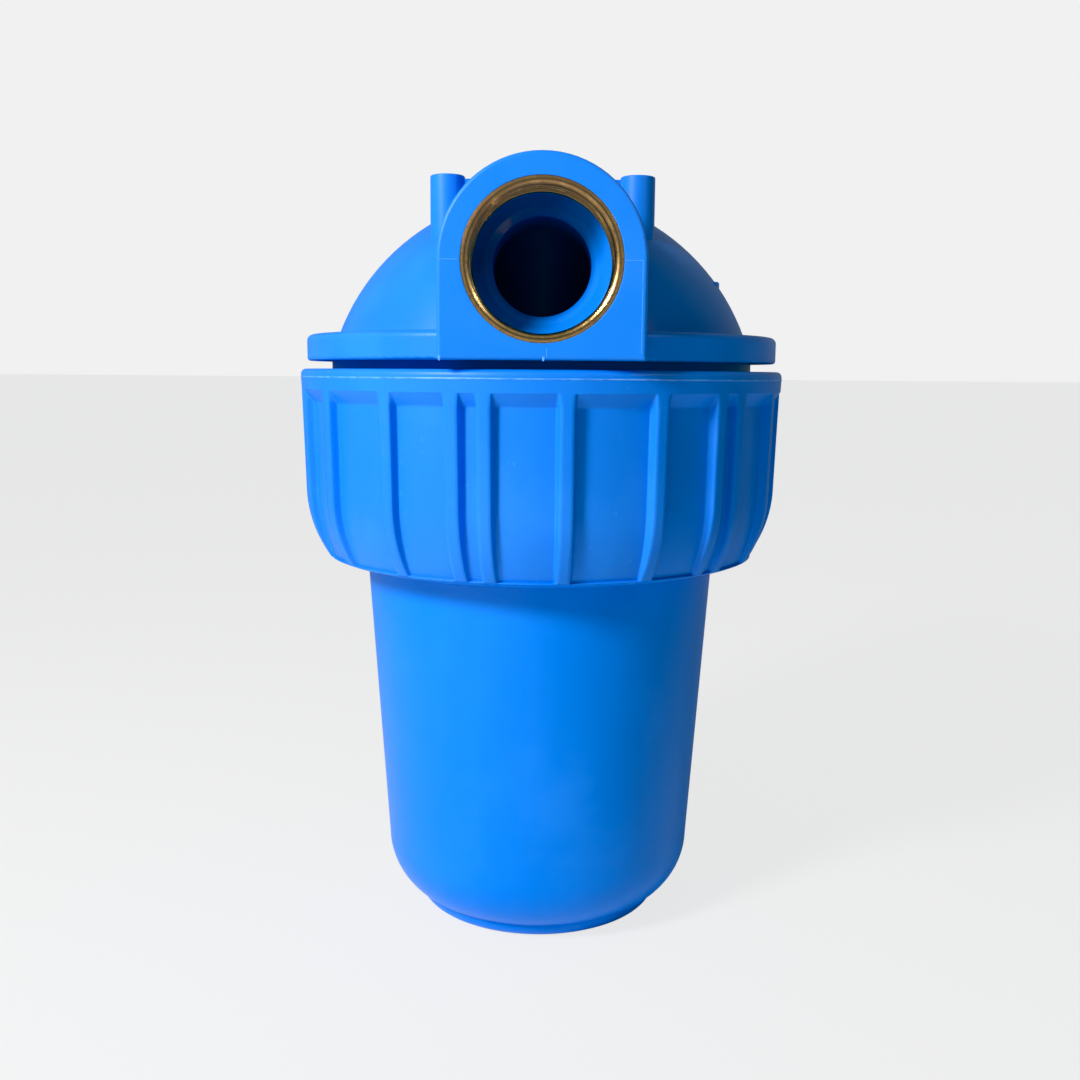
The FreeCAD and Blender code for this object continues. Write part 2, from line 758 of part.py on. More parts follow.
def make_gasket(doc, label, end, s):
    """Flat rubber washer set in an end cap, standing proud of it."""
    body = new_body(doc, label)
    sketch = circles(new_sketch(body, "GasketOutline", "XY_Plane", s["cartridge_z"]), [(0, 0)],
                     s["gasket_r"])
    circles(sketch, [(0, 0)], s["cap_hole_r"])
    extrude(body, "Pad", "Gasket", sketch, s["gasket_thickness"])
    rise = (s["cartridge_length"] - s["gasket_thickness"]) * end
    body.setExpression("Placement.Base.z", rise.text)
    return body


def make_core(doc, s):
    """Perforated tube that the pleats lean on."""
    body = new_body(doc, "cartridge_core")
    web = s["gasket_thickness"] + s["cap_web"]
    low_z = from_end(s, 0, web)
    high_z = from_end(s, 1, web)
    sketch = new_sketch(body, "CoreOutline", "XZ_Plane")
    outline(sketch, [
        (s["core_inner_r"], low_z), (s["core_outer_r"], low_z),
        (s["core_outer_r"], high_z), (s["core_inner_r"], high_z),
    ])
    turn(body, "Revolution", "CoreTube", sketch)
    middle_z = (low_z + high_z) / 2
    rows = int(s["core_hole_rows"].value)
    heights = [middle_z + s["core_hole_pitch"] * (row - (rows - 1) / 2) for row in range(rows)]
    sketch = new_sketch(body, "CoreHoleOutline", "XZ_Plane")
    circles(sketch, [(0, height) for height in heights], s["core_hole_r"])
    holes = extrude(body, "Pocket", "CoreHoles", sketch, s["core_outer_r"] * 2 + s["cut_past"],
                    symmetric=True)
    doc.recompute()
    polar(body, "CoreHoleColumns", [holes], s["core_hole_columns"], 180)
    return body


def make_media(doc, s):
    """Pleated filter cloth: a closed star-shaped band between the two caps."""
    count = int(s["pleat_count"].value)
    tip_r = s["pleat_tip_r"].value
    root_r = s["pleat_root_r"].value
    cloth = s["pleat_cloth"].value
    web = s["gasket_thickness"] + s["cap_web"] + s["media_gap"]
    low_z = from_end(s, 0, web).value
    high_z = from_end(s, 1, web).value

    def star(outer, inner):
        points = []
        for step in range(2 * count + 1):
            angle = math.pi * step / count
            radius = outer if step % 2 == 0 else inner
            points.append(Vector(radius * math.cos(angle), radius * math.sin(angle), low_z))
        return Part.Face(Part.makePolygon(points))

    band = star(tip_r, root_r + cloth).cut(star(tip_r - cloth, root_r))
    media = doc.addObject("Part::Feature", "cartridge_media")
    media.Label = "cartridge_media"
    media.Shape = band.extrude(Vector(0, 0, high_z - low_z))
    return media


# ---------------------------------------------------------------- document, checks and export
def check(doc, pieces):
    """Stop if any object failed or any piece isn't one or more valid solids."""
    for item in doc.Objects:
        if "Invalid" in item.State or "Error" in item.State:
            raise RuntimeError("%s failed: %s" % (item.Name, item.State))
    for piece in pieces:
        shape = piece.Shape
        if shape.isNull() or not shape.isValid() or not shape.Solids:
            raise RuntimeError("%s has no valid solid" % piece.Label)


def main():
    doc = FreeCAD.newDocument("CartridgeFilterHousing")
    s = size_sheet(doc)
    doc.recompute()
    pieces = [
        make_head(doc, s),
        make_insert(doc, "inlet_insert", -1, s),
        make_insert(doc, "outlet_insert", 1, s),
        make_ring_nut(doc, s),
        make_bowl(doc, s),
        make_bowl_oring(doc, s),
        make_core(doc, s),
        make_media(doc, s),
        make_cap(doc, "cartridge_bottom_cap", 0, s),
        make_cap(doc, "cartridge_top_cap", 1, s),
        make_gasket(doc, "cartridge_bottom_gasket", 0, s),
        make_gasket(doc, "cartridge_top_gasket", 1, s),
    ]
    doc.recompute()
    check(doc, pieces)
    os.makedirs("parts", exist_ok=True)
    for piece in pieces:
        piece.Shape.exportStep("parts/%s.step" % piece.Label)
        print("%s: %.0f mm3, %d solid(s)" % (piece.Label, piece.Shape.Volume, len(piece.Shape.Solids)))


main()
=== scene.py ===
"""Looks of the cartridge filter housing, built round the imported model.

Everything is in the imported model's frame: the origin is the centre of the bowl's foot, +Z is up,
and the inlet port looks towards -Y. Shapes are worked out in millimetres, which make_object turns
into metres. Other lengths are in metres, as a number times MM where they are small.
"""
import math

import bpy
from mathutils import Matrix, Vector


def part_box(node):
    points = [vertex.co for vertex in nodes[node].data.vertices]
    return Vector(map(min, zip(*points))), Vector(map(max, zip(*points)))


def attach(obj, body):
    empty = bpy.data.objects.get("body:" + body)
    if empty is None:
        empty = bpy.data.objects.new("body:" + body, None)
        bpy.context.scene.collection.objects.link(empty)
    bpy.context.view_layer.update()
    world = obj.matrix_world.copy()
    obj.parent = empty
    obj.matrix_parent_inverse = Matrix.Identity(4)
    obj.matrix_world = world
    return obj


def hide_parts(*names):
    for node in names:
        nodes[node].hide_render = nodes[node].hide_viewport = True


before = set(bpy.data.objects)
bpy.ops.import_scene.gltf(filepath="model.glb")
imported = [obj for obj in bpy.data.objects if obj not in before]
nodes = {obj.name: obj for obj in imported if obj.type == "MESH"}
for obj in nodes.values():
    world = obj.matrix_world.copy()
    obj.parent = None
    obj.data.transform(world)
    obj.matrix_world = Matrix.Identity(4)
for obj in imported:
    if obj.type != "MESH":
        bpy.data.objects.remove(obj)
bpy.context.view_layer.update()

MM = 0.001
QUARTER = math.pi / 2
TURN = 2 * math.pi
PORT_Z = (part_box("inlet_insert")[0].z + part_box("inlet_insert")[1].z) / 2
PORT_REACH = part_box("outlet_insert")[1].y
# steps that arcs and rounded corners are cut into
ARC_STEP = math.radians(6)
CORNER_STEP = math.radians(15)
# the most of a straight side that one rounded corner takes up
CORNER_SHARE = 0.49
# in millimetres: the longest stretch between two points of a straight side, and how far from the
# side's ends its guard points lie
LONGEST_STRETCH = 4.0
GUARD = 0.25


# ---------------------------------------------------------------- shapes worked out from outlines
def arc_points(centre, radius, start, end, step=ARC_STEP):
    """Points along an arc, both ends included; angles in radians."""
    count = max(2, int(math.ceil(abs(end - start) / step)))
    angles = [start + (end - start) * i / count for i in range(count + 1)]
    return [(centre[0] + radius * math.cos(a), centre[1] + radius * math.sin(a)) for a in angles]


def round_corner(before, corner, after, radius):
    """The arc that rounds one corner of an outline, as points."""
    here = Vector(corner[:2])
    back = Vector(before[:2]) - here
    ahead = Vector(after[:2]) - here
    half = back.angle(ahead) / 2
    room = CORNER_SHARE * min(back.length, ahead.length)
    reach = min(radius / math.tan(half), room)
    radius = reach * math.tan(half)
    start = here + back.normalized() * reach
    end = here + ahead.normalized() * reach
    middle = here + (back.normalized() + ahead.normalized()).normalized() * radius / math.sin(half)
    first = math.atan2(start.y - middle.y, start.x - middle.x)
    last = math.atan2(end.y - middle.y, end.x - middle.x)
    sweep = (last - first + math.pi) % TURN - math.pi
    return arc_points(middle, radius, first, first + sweep, CORNER_STEP)


def smooth_outline(corners, guard=GUARD):
    """Open outline through the corners (across, along, rounding), with straight stretches cut up
    and a guard point near each end of them, so that smooth shading stays flat on the flats.
    """
    pieces = []
    for index, corner in enumerate(corners):
        if index in (0, len(corners) - 1) or corner[2] == 0:
            pieces.append([corner[:2]])
        else:
            pieces.append(round_corner(corners[index - 1], corner, corners[index + 1], corner[2]))
    points = []
    for piece, after in zip(pieces, pieces[1:]):
        points.extend(piece)
        start = Vector(piece[-1])
        end = Vector(after[0])
        length = (end - start).length
        if length < 3 * guard:
            continue
        parts = max(1, int(math.ceil((length - 2 * guard) / LONGEST_STRETCH)))
        for step in range(parts + 1):
            along = (guard + (length - 2 * guard) * step / parts) / length
            points.append(tuple(start.lerp(end, along)))
    return points + pieces[-1]


def make_object(name, points, faces, smooth=True):
    """Mesh object from points in millimetres."""
    mesh = bpy.data.meshes.new(name)
    mesh.from_pydata([(x * MM, y * MM, z * MM) for x, y, z in points], [], faces)
    mesh.validate()
    mesh.polygons.foreach_set("use_smooth", [smooth] * len(mesh.polygons))
    mesh.update()
    obj = bpy.data.objects.new(name, mesh)
    bpy.context.scene.collection.objects.link(obj)
    return obj


def ring_mesh(name, rows, columns, place):
    """Closed ring: place(row, column) gives each point, and both ways round join up."""
    points = [place(i, j) for i in range(rows) for j in range(columns)]
    faces = []
    for i in range(rows):
        below = (i + 1) % rows
        for j in range(columns):
            beside = (j + 1) % columns
            faces.append((i * columns + j, i * columns + beside,
                          below * columns + beside, below * columns + j))
    return make_object(name, points, faces)


def lathe(name, outline, columns=256):
    """Solid of revolution about Z from an open outline whose two ends close on the axis."""
    count = len(outline)
    angles = [TURN * j / columns for j in range(columns)]
    points = [(r * math.cos(a), r * math.sin(a), z) for r, z in outline for a in angles]
    points += [(0, 0, outline[0][1]), (0, 0, outline[-1][1])]
    first_hub = count * columns
    faces = []
    for j in range(columns):
        k = (j + 1) % columns
        for i in range(count - 1):
            below = i * columns
            above = below + columns
            faces.append((below + j, below + k, above + k, above + j))
        last = (count - 1) * columns
        faces.append((first_hub, k, j))
        faces.append((first_hub + 1, last + j, last + k))
    return make_object(name, points, faces)


def ease(t):
    """Smooth step from 0 to 1."""
    t = min(1.0, max(0.0, t))
    return t * t * (3 - 2 * t)


# ---------------------------------------------------------------- materials
class Tree:
    """Short way to add and join the nodes of one material or world."""

    def __init__(self, owner):
        owner.use_nodes = True
        self.tree = owner.node_tree
        self.tree.nodes.clear()

    def add(self, kind, **settings):
        node = self.tree.nodes.new(kind)
        for key, value in settings.items():
            setattr(node, key, value)
        return node

    def join(self, source, target):
        self.tree.links.new(source, target)

    def feed(self, socket, value):
        """Set a socket to a number, or join it to another node's output."""
        if isinstance(value, (int, float)):
            socket.default_value = value
        else:
            self.join(value, socket)

    def line_noise(self, value, scale):
        """Noise that depends on one number only."""
        node = self.add("ShaderNodeTexNoise", noise_dimensions="1D")
        node.inputs["Scale"].default_value = scale
        self.join(value, node.inputs["W"])
        return node.outputs["Fac"]

    def remap(self, value, low, high, to_low=0.0, to_high=1.0):
        """Spread the range low to high over to_low to to_high, and stop at both ends."""
        node = self.add("ShaderNodeMapRange")
        ends = {"From Min": low, "From Max": high, "To Min": to_low, "To Max": to_high}
        for key, number in ends.items():
            node.inputs[key].default_value = number
        self.join(value, node.inputs["Value"])
        return node.outputs["Result"]

    def maths(self, operation, first, second=0.0):
        node = self.add("ShaderNodeMath", operation=operation)
        self.feed(node.inputs[0], first)
        self.feed(node.inputs[1], second)
        return node.outputs["Value"]

    def length(self, first, second):
        """Length of the diagonal of two distances."""
        squares = [self.maths("MULTIPLY", side, side) for side in (first, second)]
        return self.maths("SQRT", self.maths("ADD", squares[0], squares[1]))

    def mix(self, factor, first, second):
        """Colour between first and second; each is a tuple or another node's output."""
        node = self.add("ShaderNodeMix", data_type="RGBA")
        self.join(factor, node.inputs["Factor"])
        for key, value in (("A", first), ("B", second)):
            socket = [item for item in node.inputs if item.name == key and item.type == "RGBA"][0]
            if isinstance(value, tuple):
                socket.default_value = (*value, 1)
            else:
                self.join(value, socket)
        return [item for item in node.outputs if item.type == "RGBA"][0]

    def mix_shaders(self, factor, first, second, target):
        """Join a mix of two shaders to the target; where the factor is 1 it is all the second."""
        node = self.add("ShaderNodeMixShader")
        for source, socket in zip((factor, first, second), node.inputs):
            self.join(source, socket)
        self.join(node.outputs["Shader"], target)


class Nodes(Tree):
    """The shader nodes of one new material."""

    def __init__(self, name):
        self.material = bpy.data.materials.new(name)
        super().__init__(self.material)
        self.output = self.add("ShaderNodeOutputMaterial")
        self.shader = self.add("ShaderNodeBsdfPrincipled")
        self.join(self.shader.outputs["BSDF"], self.output.inputs["Surface"])
        self.place = self.add("ShaderNodeTexCoord").outputs["Object"]

    def noise(self, scale, detail, stretch=(1, 1, 1)):
        """Noise over the object's own coordinates; scale is in features per metre."""
        mapping = self.add("ShaderNodeMapping")
        mapping.inputs["Scale"].default_value = stretch
        self.join(self.place, mapping.inputs["Vector"])
        node = self.add("ShaderNodeTexNoise")
        node.inputs["Scale"].default_value = scale
        node.inputs["Detail"].default_value = detail
        self.join(mapping.outputs["Vector"], node.inputs["Vector"])
        return node.outputs["Fac"]

    def split_place(self):
        """The object's own X, Y and Z, as three outputs."""
        apart = self.add("ShaderNodeSeparateXYZ")
        self.join(self.place, apart.inputs["Vector"])
        return [apart.outputs[axis] for axis in "XYZ"]

    def colour(self, value):
        self.join(value, self.shader.inputs["Base Color"])

    def roughness(self, value):
        self.join(value, self.shader.inputs["Roughness"])

    def bump(self, height, distance, strength, rounding=0.0):
        """Bump from a height, over edges rounded by the given radius; lengths are in metres."""
        node = self.add("ShaderNodeBump")
        node.inputs["Distance"].default_value = distance
        node.inputs["Strength"].default_value = strength
        self.join(height, node.inputs["Height"])
        if rounding:
            bevel = self.add("ShaderNodeBevel", samples=BEVEL_SAMPLES)
            bevel.inputs["Radius"].default_value = rounding
            self.join(bevel.outputs["Normal"], node.inputs["Normal"])
        self.join(node.outputs["Normal"], self.shader.inputs["Normal"])


BEVEL_SAMPLES = 6

BLUE = (0.005, 0.205, 0.83)
BLUE_PALE = (0.014, 0.225, 0.87)
BLUE_DEEP = (0.002, 0.192, 0.79)
# painted shade: the deeper blue of the head's inside and the darker blue at its throats' upper left
BLUE_INSIDE_SHADE = (0.001, 0.045, 0.33)
BLUE_SHADED = (0.001, 0.034, 0.20)
BLUE_RUBBED = (0.06, 0.34, 0.92)
# painted highlight: the paler blue of the head's mould marks and of the nut's parting line
BLUE_FLASH_HIGHLIGHT = (0.10, 0.36, 0.95)
# red added to the plastics' blue: the head and the nut are a warmer blue than the bowl
UPPER_RED = 0.011
BOWL_RED = -0.002

# Patterns of noise: a pattern's scale is in features per metre, a stretch multiplies it along X, Y
# and Z, and a span is the run of values over which an effect grows from its least to its most.
# blue plastic
BLUE_ROUGHNESS = 0.42
BOWL_ROUGHNESS = 0.36
PLASTIC_SPECULAR = 0.25
CLOUDS = 38
STREAKS = 150
STREAK_STRETCH = (1, 1, 0.18)
CLOUD_SHARE = 0.6
STREAK_SHARE = 0.4
TONE_SPAN = (0.38, 0.62)
PALE_SPAN = (0.50, 0.80)
GLOSS_SPAN = (0.3, 0.75)
SMOOTHEST_BY = -0.05
ROUGHEST_BY = 0.06
GRAIN = 2600
RIPPLE = 240
RIPPLE_SHARE = 0.9
GRAIN_HEIGHT = 0.03 * MM
GRAIN_STRENGTH = 0.5
HEAD_EDGE_ROUND = 0.4 * MM
# where the head's inside begins, which is given painted shade, how the painted shade at the
# throats' upper left is laid, and where the throats are wet
DOME_MIDDLE_Z = 131.9 * MM
CHAMBER_R = 51.8 * MM
BORE_R = 15.1 * MM
INSIDE_EDGE = 0.2 * MM
THROAT_END_Y = 46.5 * MM
SHADE_SLANT = 0.8
SHADE_SPAN = (-9 * MM, 12 * MM)
SHADE_MOST = 0.9
WET_GLOSS = 0.27
# the mould marks' painted highlight: patches of a paler blue
FLASH_PATCHES = 300
FLASH_SPAN = (0.3, 0.5)
# rubbed places on the nut, and the painted highlight along its parting line, uneven in strength
PATCHES = 70
PATCH_SPAN = (0.50, 0.66)
SPECKS = 620
SPECK_SPAN = (0.66, 0.74)
SMUDGES = 210
SMUDGE_STRETCH = (1, 1, 0.6)
SMUDGE_SPAN = (0.56, 0.74)
SMUDGE_SHARE = 0.35
RUB_PALER = 0.4
RUB_ROUGHER = 0.1
LINE_UNEVEN = 420
LINE_UNEVEN_SPAN = (0.36, 0.62)
LINE_UNEVEN_LEAST = 0.25
LINE_SPAN = (0.24 * MM, 0.14 * MM)
# brass: random tarnish, and painted shade that makes it browner towards its own +Y
BRASS = (0.80, 0.50, 0.18)
BRASS_BROWN = (0.34, 0.20, 0.08)
BRASS_BAND = (0.16, 0.09, 0.04)
BRASS_SPOT = (0.16, 0.11, 0.07)
BRASS_ROUGHNESS = (0.20, 0.36)
TARNISH = 190
TARNISH_AND_SHADE_SPAN = (0.38, 0.62)
BRASS_SHADE_ACROSS = (-10 * MM, 14 * MM)
BRASS_SHADE_SHIFT = (-0.12, 0.16)
SPOTS = 1100
SPOT_SPAN = (0.54, 0.70)
SPOT_SHARE = 0.55
TOOL_RINGS = 5200
TOOL_BANDS = 1500
BAND_SPAN = (0.48, 0.56)
BAND_SHARE = 0.75
BAND_RELIEF = 1.6
PITS = 1500
PIT_RELIEF = 0.35
TOOL_HEIGHT = 0.06 * MM
TOOL_STRENGTH = 0.8
# rubber, white plastic and filter cloth: each runs between two tones, or two roughnesses
RUBBER_TONES = ((0.012, 0.012, 0.013), (0.04, 0.04, 0.042))
RUBBER_ROUGHNESS = (0.42, 0.62)
RUBBER_BLOOM = 300
RUBBER_BLOOM_SPAN = (0.4, 0.75)
RUBBER_GRAIN = 3000
WHITE_TONES = ((0.80, 0.80, 0.78), (0.86, 0.86, 0.85))
WHITE_ROUGHNESS = (0.38, 0.5)
WHITE_CLOUDS = 120
WHITE_CLOUD_SPAN = (0.35, 0.75)
WHITE_GRAIN = 1800
WHITE_EDGE_ROUND = 0.2 * MM
SKIN_HEIGHT = 0.01 * MM
SKIN_STRENGTH = 0.5
CLOTH_TONES = ((0.60, 0.60, 0.57), (0.84, 0.84, 0.82))
CLOTH_ROUGHNESS = 0.85
FIBRES = 2200
FIBRE_STRETCH = (1, 1, 0.25)
CLOTH_CLOUDS = 90
CLOTH_SPAN = (0.3, 0.7)
FIBRE_LEAST = 0.6
CLOTH_CLOUD_LEAST = 0.7
FIBRE_HEIGHT = 0.1 * MM
FIBRE_STRENGTH = 0.6


def with_red(blue, red):
    """A blue with a little red added or taken away."""
    return (max(blue[0] + red, 0.0), blue[1], blue[2])


def blue_plastic(name, roughness=BLUE_ROUGHNESS, rounding=0.0, red=UPPER_RED):
    """Satin blue polypropylene: cloudy bloom, flow streaks and mould grain. Gives the material's
    nodes, its colour and its roughness, which finish_plastic puts on the shader.
    """
    n = Nodes(name)
    n.shader.inputs["Specular IOR Level"].default_value = PLASTIC_SPECULAR
    clouds = n.noise(CLOUDS, detail=4)
    streaks = n.noise(STREAKS, detail=3, stretch=STREAK_STRETCH)
    tone = n.maths("ADD", n.maths("MULTIPLY", clouds, CLOUD_SHARE),
                   n.maths("MULTIPLY", streaks, STREAK_SHARE))
    colour = n.mix(n.remap(tone, *TONE_SPAN), with_red(BLUE_DEEP, red), with_red(BLUE, red))
    colour = n.mix(n.remap(clouds, *PALE_SPAN), colour, with_red(BLUE_PALE, red))
    rough = n.remap(clouds, *GLOSS_SPAN, roughness + SMOOTHEST_BY, roughness + ROUGHEST_BY)
    ripple = n.maths("MULTIPLY", n.noise(RIPPLE, detail=2), RIPPLE_SHARE)
    grain = n.maths("ADD", n.noise(GRAIN, detail=2), ripple)
    n.bump(grain, GRAIN_HEIGHT, GRAIN_STRENGTH, rounding)
    return n, colour, rough


def finish_plastic(n, colour, rough):
    """Put a blue plastic's colour and roughness on its shader."""
    n.colour(colour)
    n.roughness(rough)
    return n.material


def head_plastic(name):
    """Blue plastic with painted shade: a deeper blue in the chamber and the bores, and a darker
    blue at the throats' upper left. The throats have a moist gloss.
    """
    n, colour, rough = blue_plastic(name, rounding=HEAD_EDGE_ROUND)
    x, y, z = n.split_place()
    rise = n.maths("SUBTRACT", z, PORT_Z)
    level = n.maths("SUBTRACT", z, DOME_MIDDLE_Z)
    deep = n.maths("ABSOLUTE", y)
    in_bore = n.remap(n.length(x, rise), BORE_R + INSIDE_EDGE, BORE_R)
    from_middle = n.length(n.length(x, y), level)
    in_chamber = n.remap(from_middle, CHAMBER_R + INSIDE_EDGE, CHAMBER_R)
    behind_throat = n.remap(deep, THROAT_END_Y + MM, THROAT_END_Y - MM)
    # painted shade: a deeper blue over the inside of the chamber and of the bores behind the
    # throats
    inside_shade = n.maths("MAXIMUM", in_chamber, n.maths("MULTIPLY", in_bore, behind_throat))
    # painted shade: a darker blue towards each throat's upper left
    upper_left = n.maths("SUBTRACT", rise, n.maths("MULTIPLY", x, SHADE_SLANT))
    shade = n.remap(upper_left, *SHADE_SPAN, 0.0, SHADE_MOST)
    in_throat = n.remap(deep, THROAT_END_Y - MM, THROAT_END_Y)
    wet = n.maths("MULTIPLY", in_bore, in_throat)
    colour = n.mix(n.maths("MULTIPLY", in_bore, shade), colour, BLUE_SHADED)
    colour = n.mix(inside_shade, colour, BLUE_INSIDE_SHADE)
    rough = n.maths("SUBTRACT", rough, n.maths("MULTIPLY", wet, WET_GLOSS))
    return finish_plastic(n, colour, rough)


def flash_highlight_plastic(name):
    """Blue plastic of the mould marks, in patches paler than the rest: a painted highlight."""
    n, colour, rough = blue_plastic(name)
    # painted highlight: patches of a paler blue over the mould marks
    painted_highlight = n.remap(n.noise(FLASH_PATCHES, detail=3), *FLASH_SPAN)
    return finish_plastic(n, n.mix(painted_highlight, colour, BLUE_FLASH_HIGHLIGHT), rough)


def nut_plastic(name):
    """Blue plastic with faint rubbed specks, and a paler blue painted along the parting line as a
    highlight, uneven in strength.
    """
    n, colour, rough = blue_plastic(name)
    patches = n.remap(n.noise(PATCHES, detail=3), *PATCH_SPAN)
    specks = n.remap(n.noise(SPECKS, detail=2), *SPECK_SPAN)
    smudges = n.remap(n.noise(SMUDGES, detail=4, stretch=SMUDGE_STRETCH), *SMUDGE_SPAN)
    marks = n.maths("MAXIMUM", specks, n.maths("MULTIPLY", smudges, SMUDGE_SHARE))
    rubbed = n.maths("MULTIPLY", patches, marks)
    z = n.split_place()[2]
    off_line = n.maths("ABSOLUTE", n.maths("SUBTRACT", z, NUT["parting_z"] * MM))
    unevenness = n.remap(n.noise(LINE_UNEVEN, detail=3), *LINE_UNEVEN_SPAN, LINE_UNEVEN_LEAST, 1.0)
    # painted highlight: a paler blue along the parting line, uneven in strength
    line = n.maths("MULTIPLY", n.remap(off_line, *LINE_SPAN), unevenness)
    colour = n.mix(n.maths("MULTIPLY", rubbed, RUB_PALER), colour, BLUE_RUBBED)
    colour = n.mix(line, colour, BLUE_FLASH_HIGHLIGHT)
    rough = n.maths("ADD", rough, n.maths("MULTIPLY", rubbed, RUB_ROUGHER))
    return finish_plastic(n, colour, rough)


def brass_material(name):
    """Turned brass with random tarnish and painted shade, browner towards its own +Y, with fine
    tool rings about the port's axis.
    """
    n = Nodes(name)
    x, y = n.split_place()[:2]
    # painted shade: the brass is made browner towards its own +Y, which is up on the inlet's ring
    painted_shade = n.remap(y, *BRASS_SHADE_ACROSS, *BRASS_SHADE_SHIFT)
    tarnish_and_shade = n.remap(n.maths("ADD", n.noise(TARNISH, detail=4), painted_shade), *TARNISH_AND_SHADE_SPAN)
    spots = n.remap(n.noise(SPOTS, detail=3), *SPOT_SPAN)
    radius = n.length(x, y)
    rings = n.line_noise(radius, TOOL_RINGS)
    bands = n.line_noise(radius, TOOL_BANDS)
    colour = n.mix(tarnish_and_shade, BRASS, BRASS_BROWN)
    colour = n.mix(n.remap(bands, *BAND_SPAN, 0.0, BAND_SHARE), colour, BRASS_BAND)
    n.colour(n.mix(n.maths("MULTIPLY", spots, SPOT_SHARE), colour, BRASS_SPOT))
    n.shader.inputs["Metallic"].default_value = 1.0
    n.roughness(n.remap(tarnish_and_shade, 0, 1, *BRASS_ROUGHNESS))
    turned = n.maths("ADD", n.maths("MULTIPLY", bands, BAND_RELIEF), rings)
    pits = n.maths("MULTIPLY", n.noise(PITS, detail=3), PIT_RELIEF)
    n.bump(n.maths("ADD", turned, pits), TOOL_HEIGHT, TOOL_STRENGTH)
    return n.material


def rubber_material(name):
    """Black rubber with a dull bloom."""
    n = Nodes(name)
    bloom = n.remap(n.noise(RUBBER_BLOOM, detail=4), *RUBBER_BLOOM_SPAN)
    n.colour(n.mix(bloom, *RUBBER_TONES))
    n.roughness(n.remap(bloom, 0, 1, *RUBBER_ROUGHNESS))
    n.bump(n.noise(RUBBER_GRAIN, detail=2), SKIN_HEIGHT, SKIN_STRENGTH)
    return n.material


def white_plastic(name):
    """White polypropylene of the cartridge's core and caps."""
    n = Nodes(name)
    clouds = n.remap(n.noise(WHITE_CLOUDS, detail=3), *WHITE_CLOUD_SPAN)
    n.colour(n.mix(clouds, *WHITE_TONES))
    n.roughness(n.remap(clouds, 0, 1, *WHITE_ROUGHNESS))
    n.bump(n.noise(WHITE_GRAIN, detail=2), SKIN_HEIGHT, SKIN_STRENGTH, WHITE_EDGE_ROUND)
    return n.material


def cloth_material(name):
    """White filter cloth of bonded fibres, a little uneven in tone."""
    n = Nodes(name)
    fibres = n.noise(FIBRES, detail=3, stretch=FIBRE_STRETCH)
    clouds = n.noise(CLOTH_CLOUDS, detail=3)
    shade = n.maths("MULTIPLY", n.remap(fibres, *CLOTH_SPAN, FIBRE_LEAST, 1),
                    n.remap(clouds, *CLOTH_SPAN, CLOTH_CLOUD_LEAST, 1))
    n.colour(n.mix(shade, *CLOTH_TONES))
    n.shader.inputs["Roughness"].default_value = CLOTH_ROUGHNESS
    n.bump(fibres, FIBRE_HEIGHT, FIBRE_STRENGTH)
    return n.material


def give(obj, material):
    """Put one material on all of an object."""
    obj.data.materials.clear()
    obj.data.materials.append(material)
    return obj


def stand_in(obj, node, body, material):
    """A finished piece that takes the place of one CAD node."""
    give(obj, material)
    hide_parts(node)
    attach(obj, body)


# ---------------------------------------------------------------- ring nut
NUT = {
    "top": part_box("ring_nut")[1].z / MM,
    "bottom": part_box("ring_nut")[0].z / MM,
    "r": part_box("ring_nut")[1].x / MM,
    "parting_z": 141.3,
    "band_z": 138.3,
    "band_r": 62.2,
    "panel_top_z": 135.2,
    "panel_top_r": 59.9,
    "curve_z": 113.5,
    "panel_r": 59.4,
    "panel_curve": 37.4,
    "rib_r": 61.45,
    "rib_curve": 31.0,
    "rim_z": 96.2,
    "bevel_r": 54.3,
    "bevel_z": 95.2,
    "foot_r": 51.5,
    "edge_round": 1.3,
    # the parting line's ridge: how far it stands out, and the heights above and below its crest
    "line_step": 0.18,
    "line_above": 0.12,
    "line_crest": 0.06,
    "line_foot": 0.14,
    "line_below": 0.3,
    "lip_start": 0.5,
    "lip_draft": 0.01,
    "band_round": 0.25,
    "panel_round": 0.9,
    "panel_start": 2,
    # the rim: from the panels' last height over a sharp corner and out to the ribs' ends
    "rim_last": 0.35,
    "rim_above": 0.2,
    "rim_corner": 0.12,
    "rim_drop": 0.25,
    "rim_round": 0.3,
    "bevel_round": 1.5,
    "foot_round": 1.2,
    "hole_round": 0.5,
    "bore_round": 0.3,
    "mouth_round": 0.2,
    # where the foot's and the top's flats are cut between the outside and the inside, and how far
    # the ribs run past the rim and the band
    "foot_flat": 2.5,
    "hole_flat": 2,
    "rib_under": 0.2,
    "rib_over": 0.1,
    "hole_r": 47.3,
    "bore_r": 56.6,
    "seat_r": 54.9,
    "seat_low_z": 98.1,
    "bore_low_z": 111.0,
    "mouth": 0.8,
    "thread_r": 54.8,
    "thread_low_z": 120.0,
    "thread_rise": 17.0,
}
THREAD_LEAD = 12.0
THREAD_PITCH = 6.0
THREAD_CREST = 1.8
THREAD_BASE = 3.4
RIB_GROUPS = 6
FIRST_PAIR = math.radians(-15.0)
PAIR_HALF = math.radians(3.45)
SINGLE_STEP = math.radians(20.3)
# how far a thread's flanks are softened, how far it runs on past its height at both ends, the
# length over which an end fades, and the height between two rows of its points
THREAD_SOFT = 0.15
THREAD_END = 2.5
THREAD_FADE = 1.5
THREAD_STEP = 0.32
PANEL_ROWS = 30
PANEL_STEP = math.radians(1.6)
# half widths of a rib, in millimetres round the nut, at its foot and at its crest
RIB_FOOT = 2.15
RIB_TOP = 1.45
# columns of points across a rib: on its crest, and down one side to just past its foot
RIB_CREST = [-0.7, 0, 0.7]
RIB_SIDE = [RIB_TOP, 1.6, 1.72, 1.8, 1.88, 2.0, RIB_FOOT, 2.5]


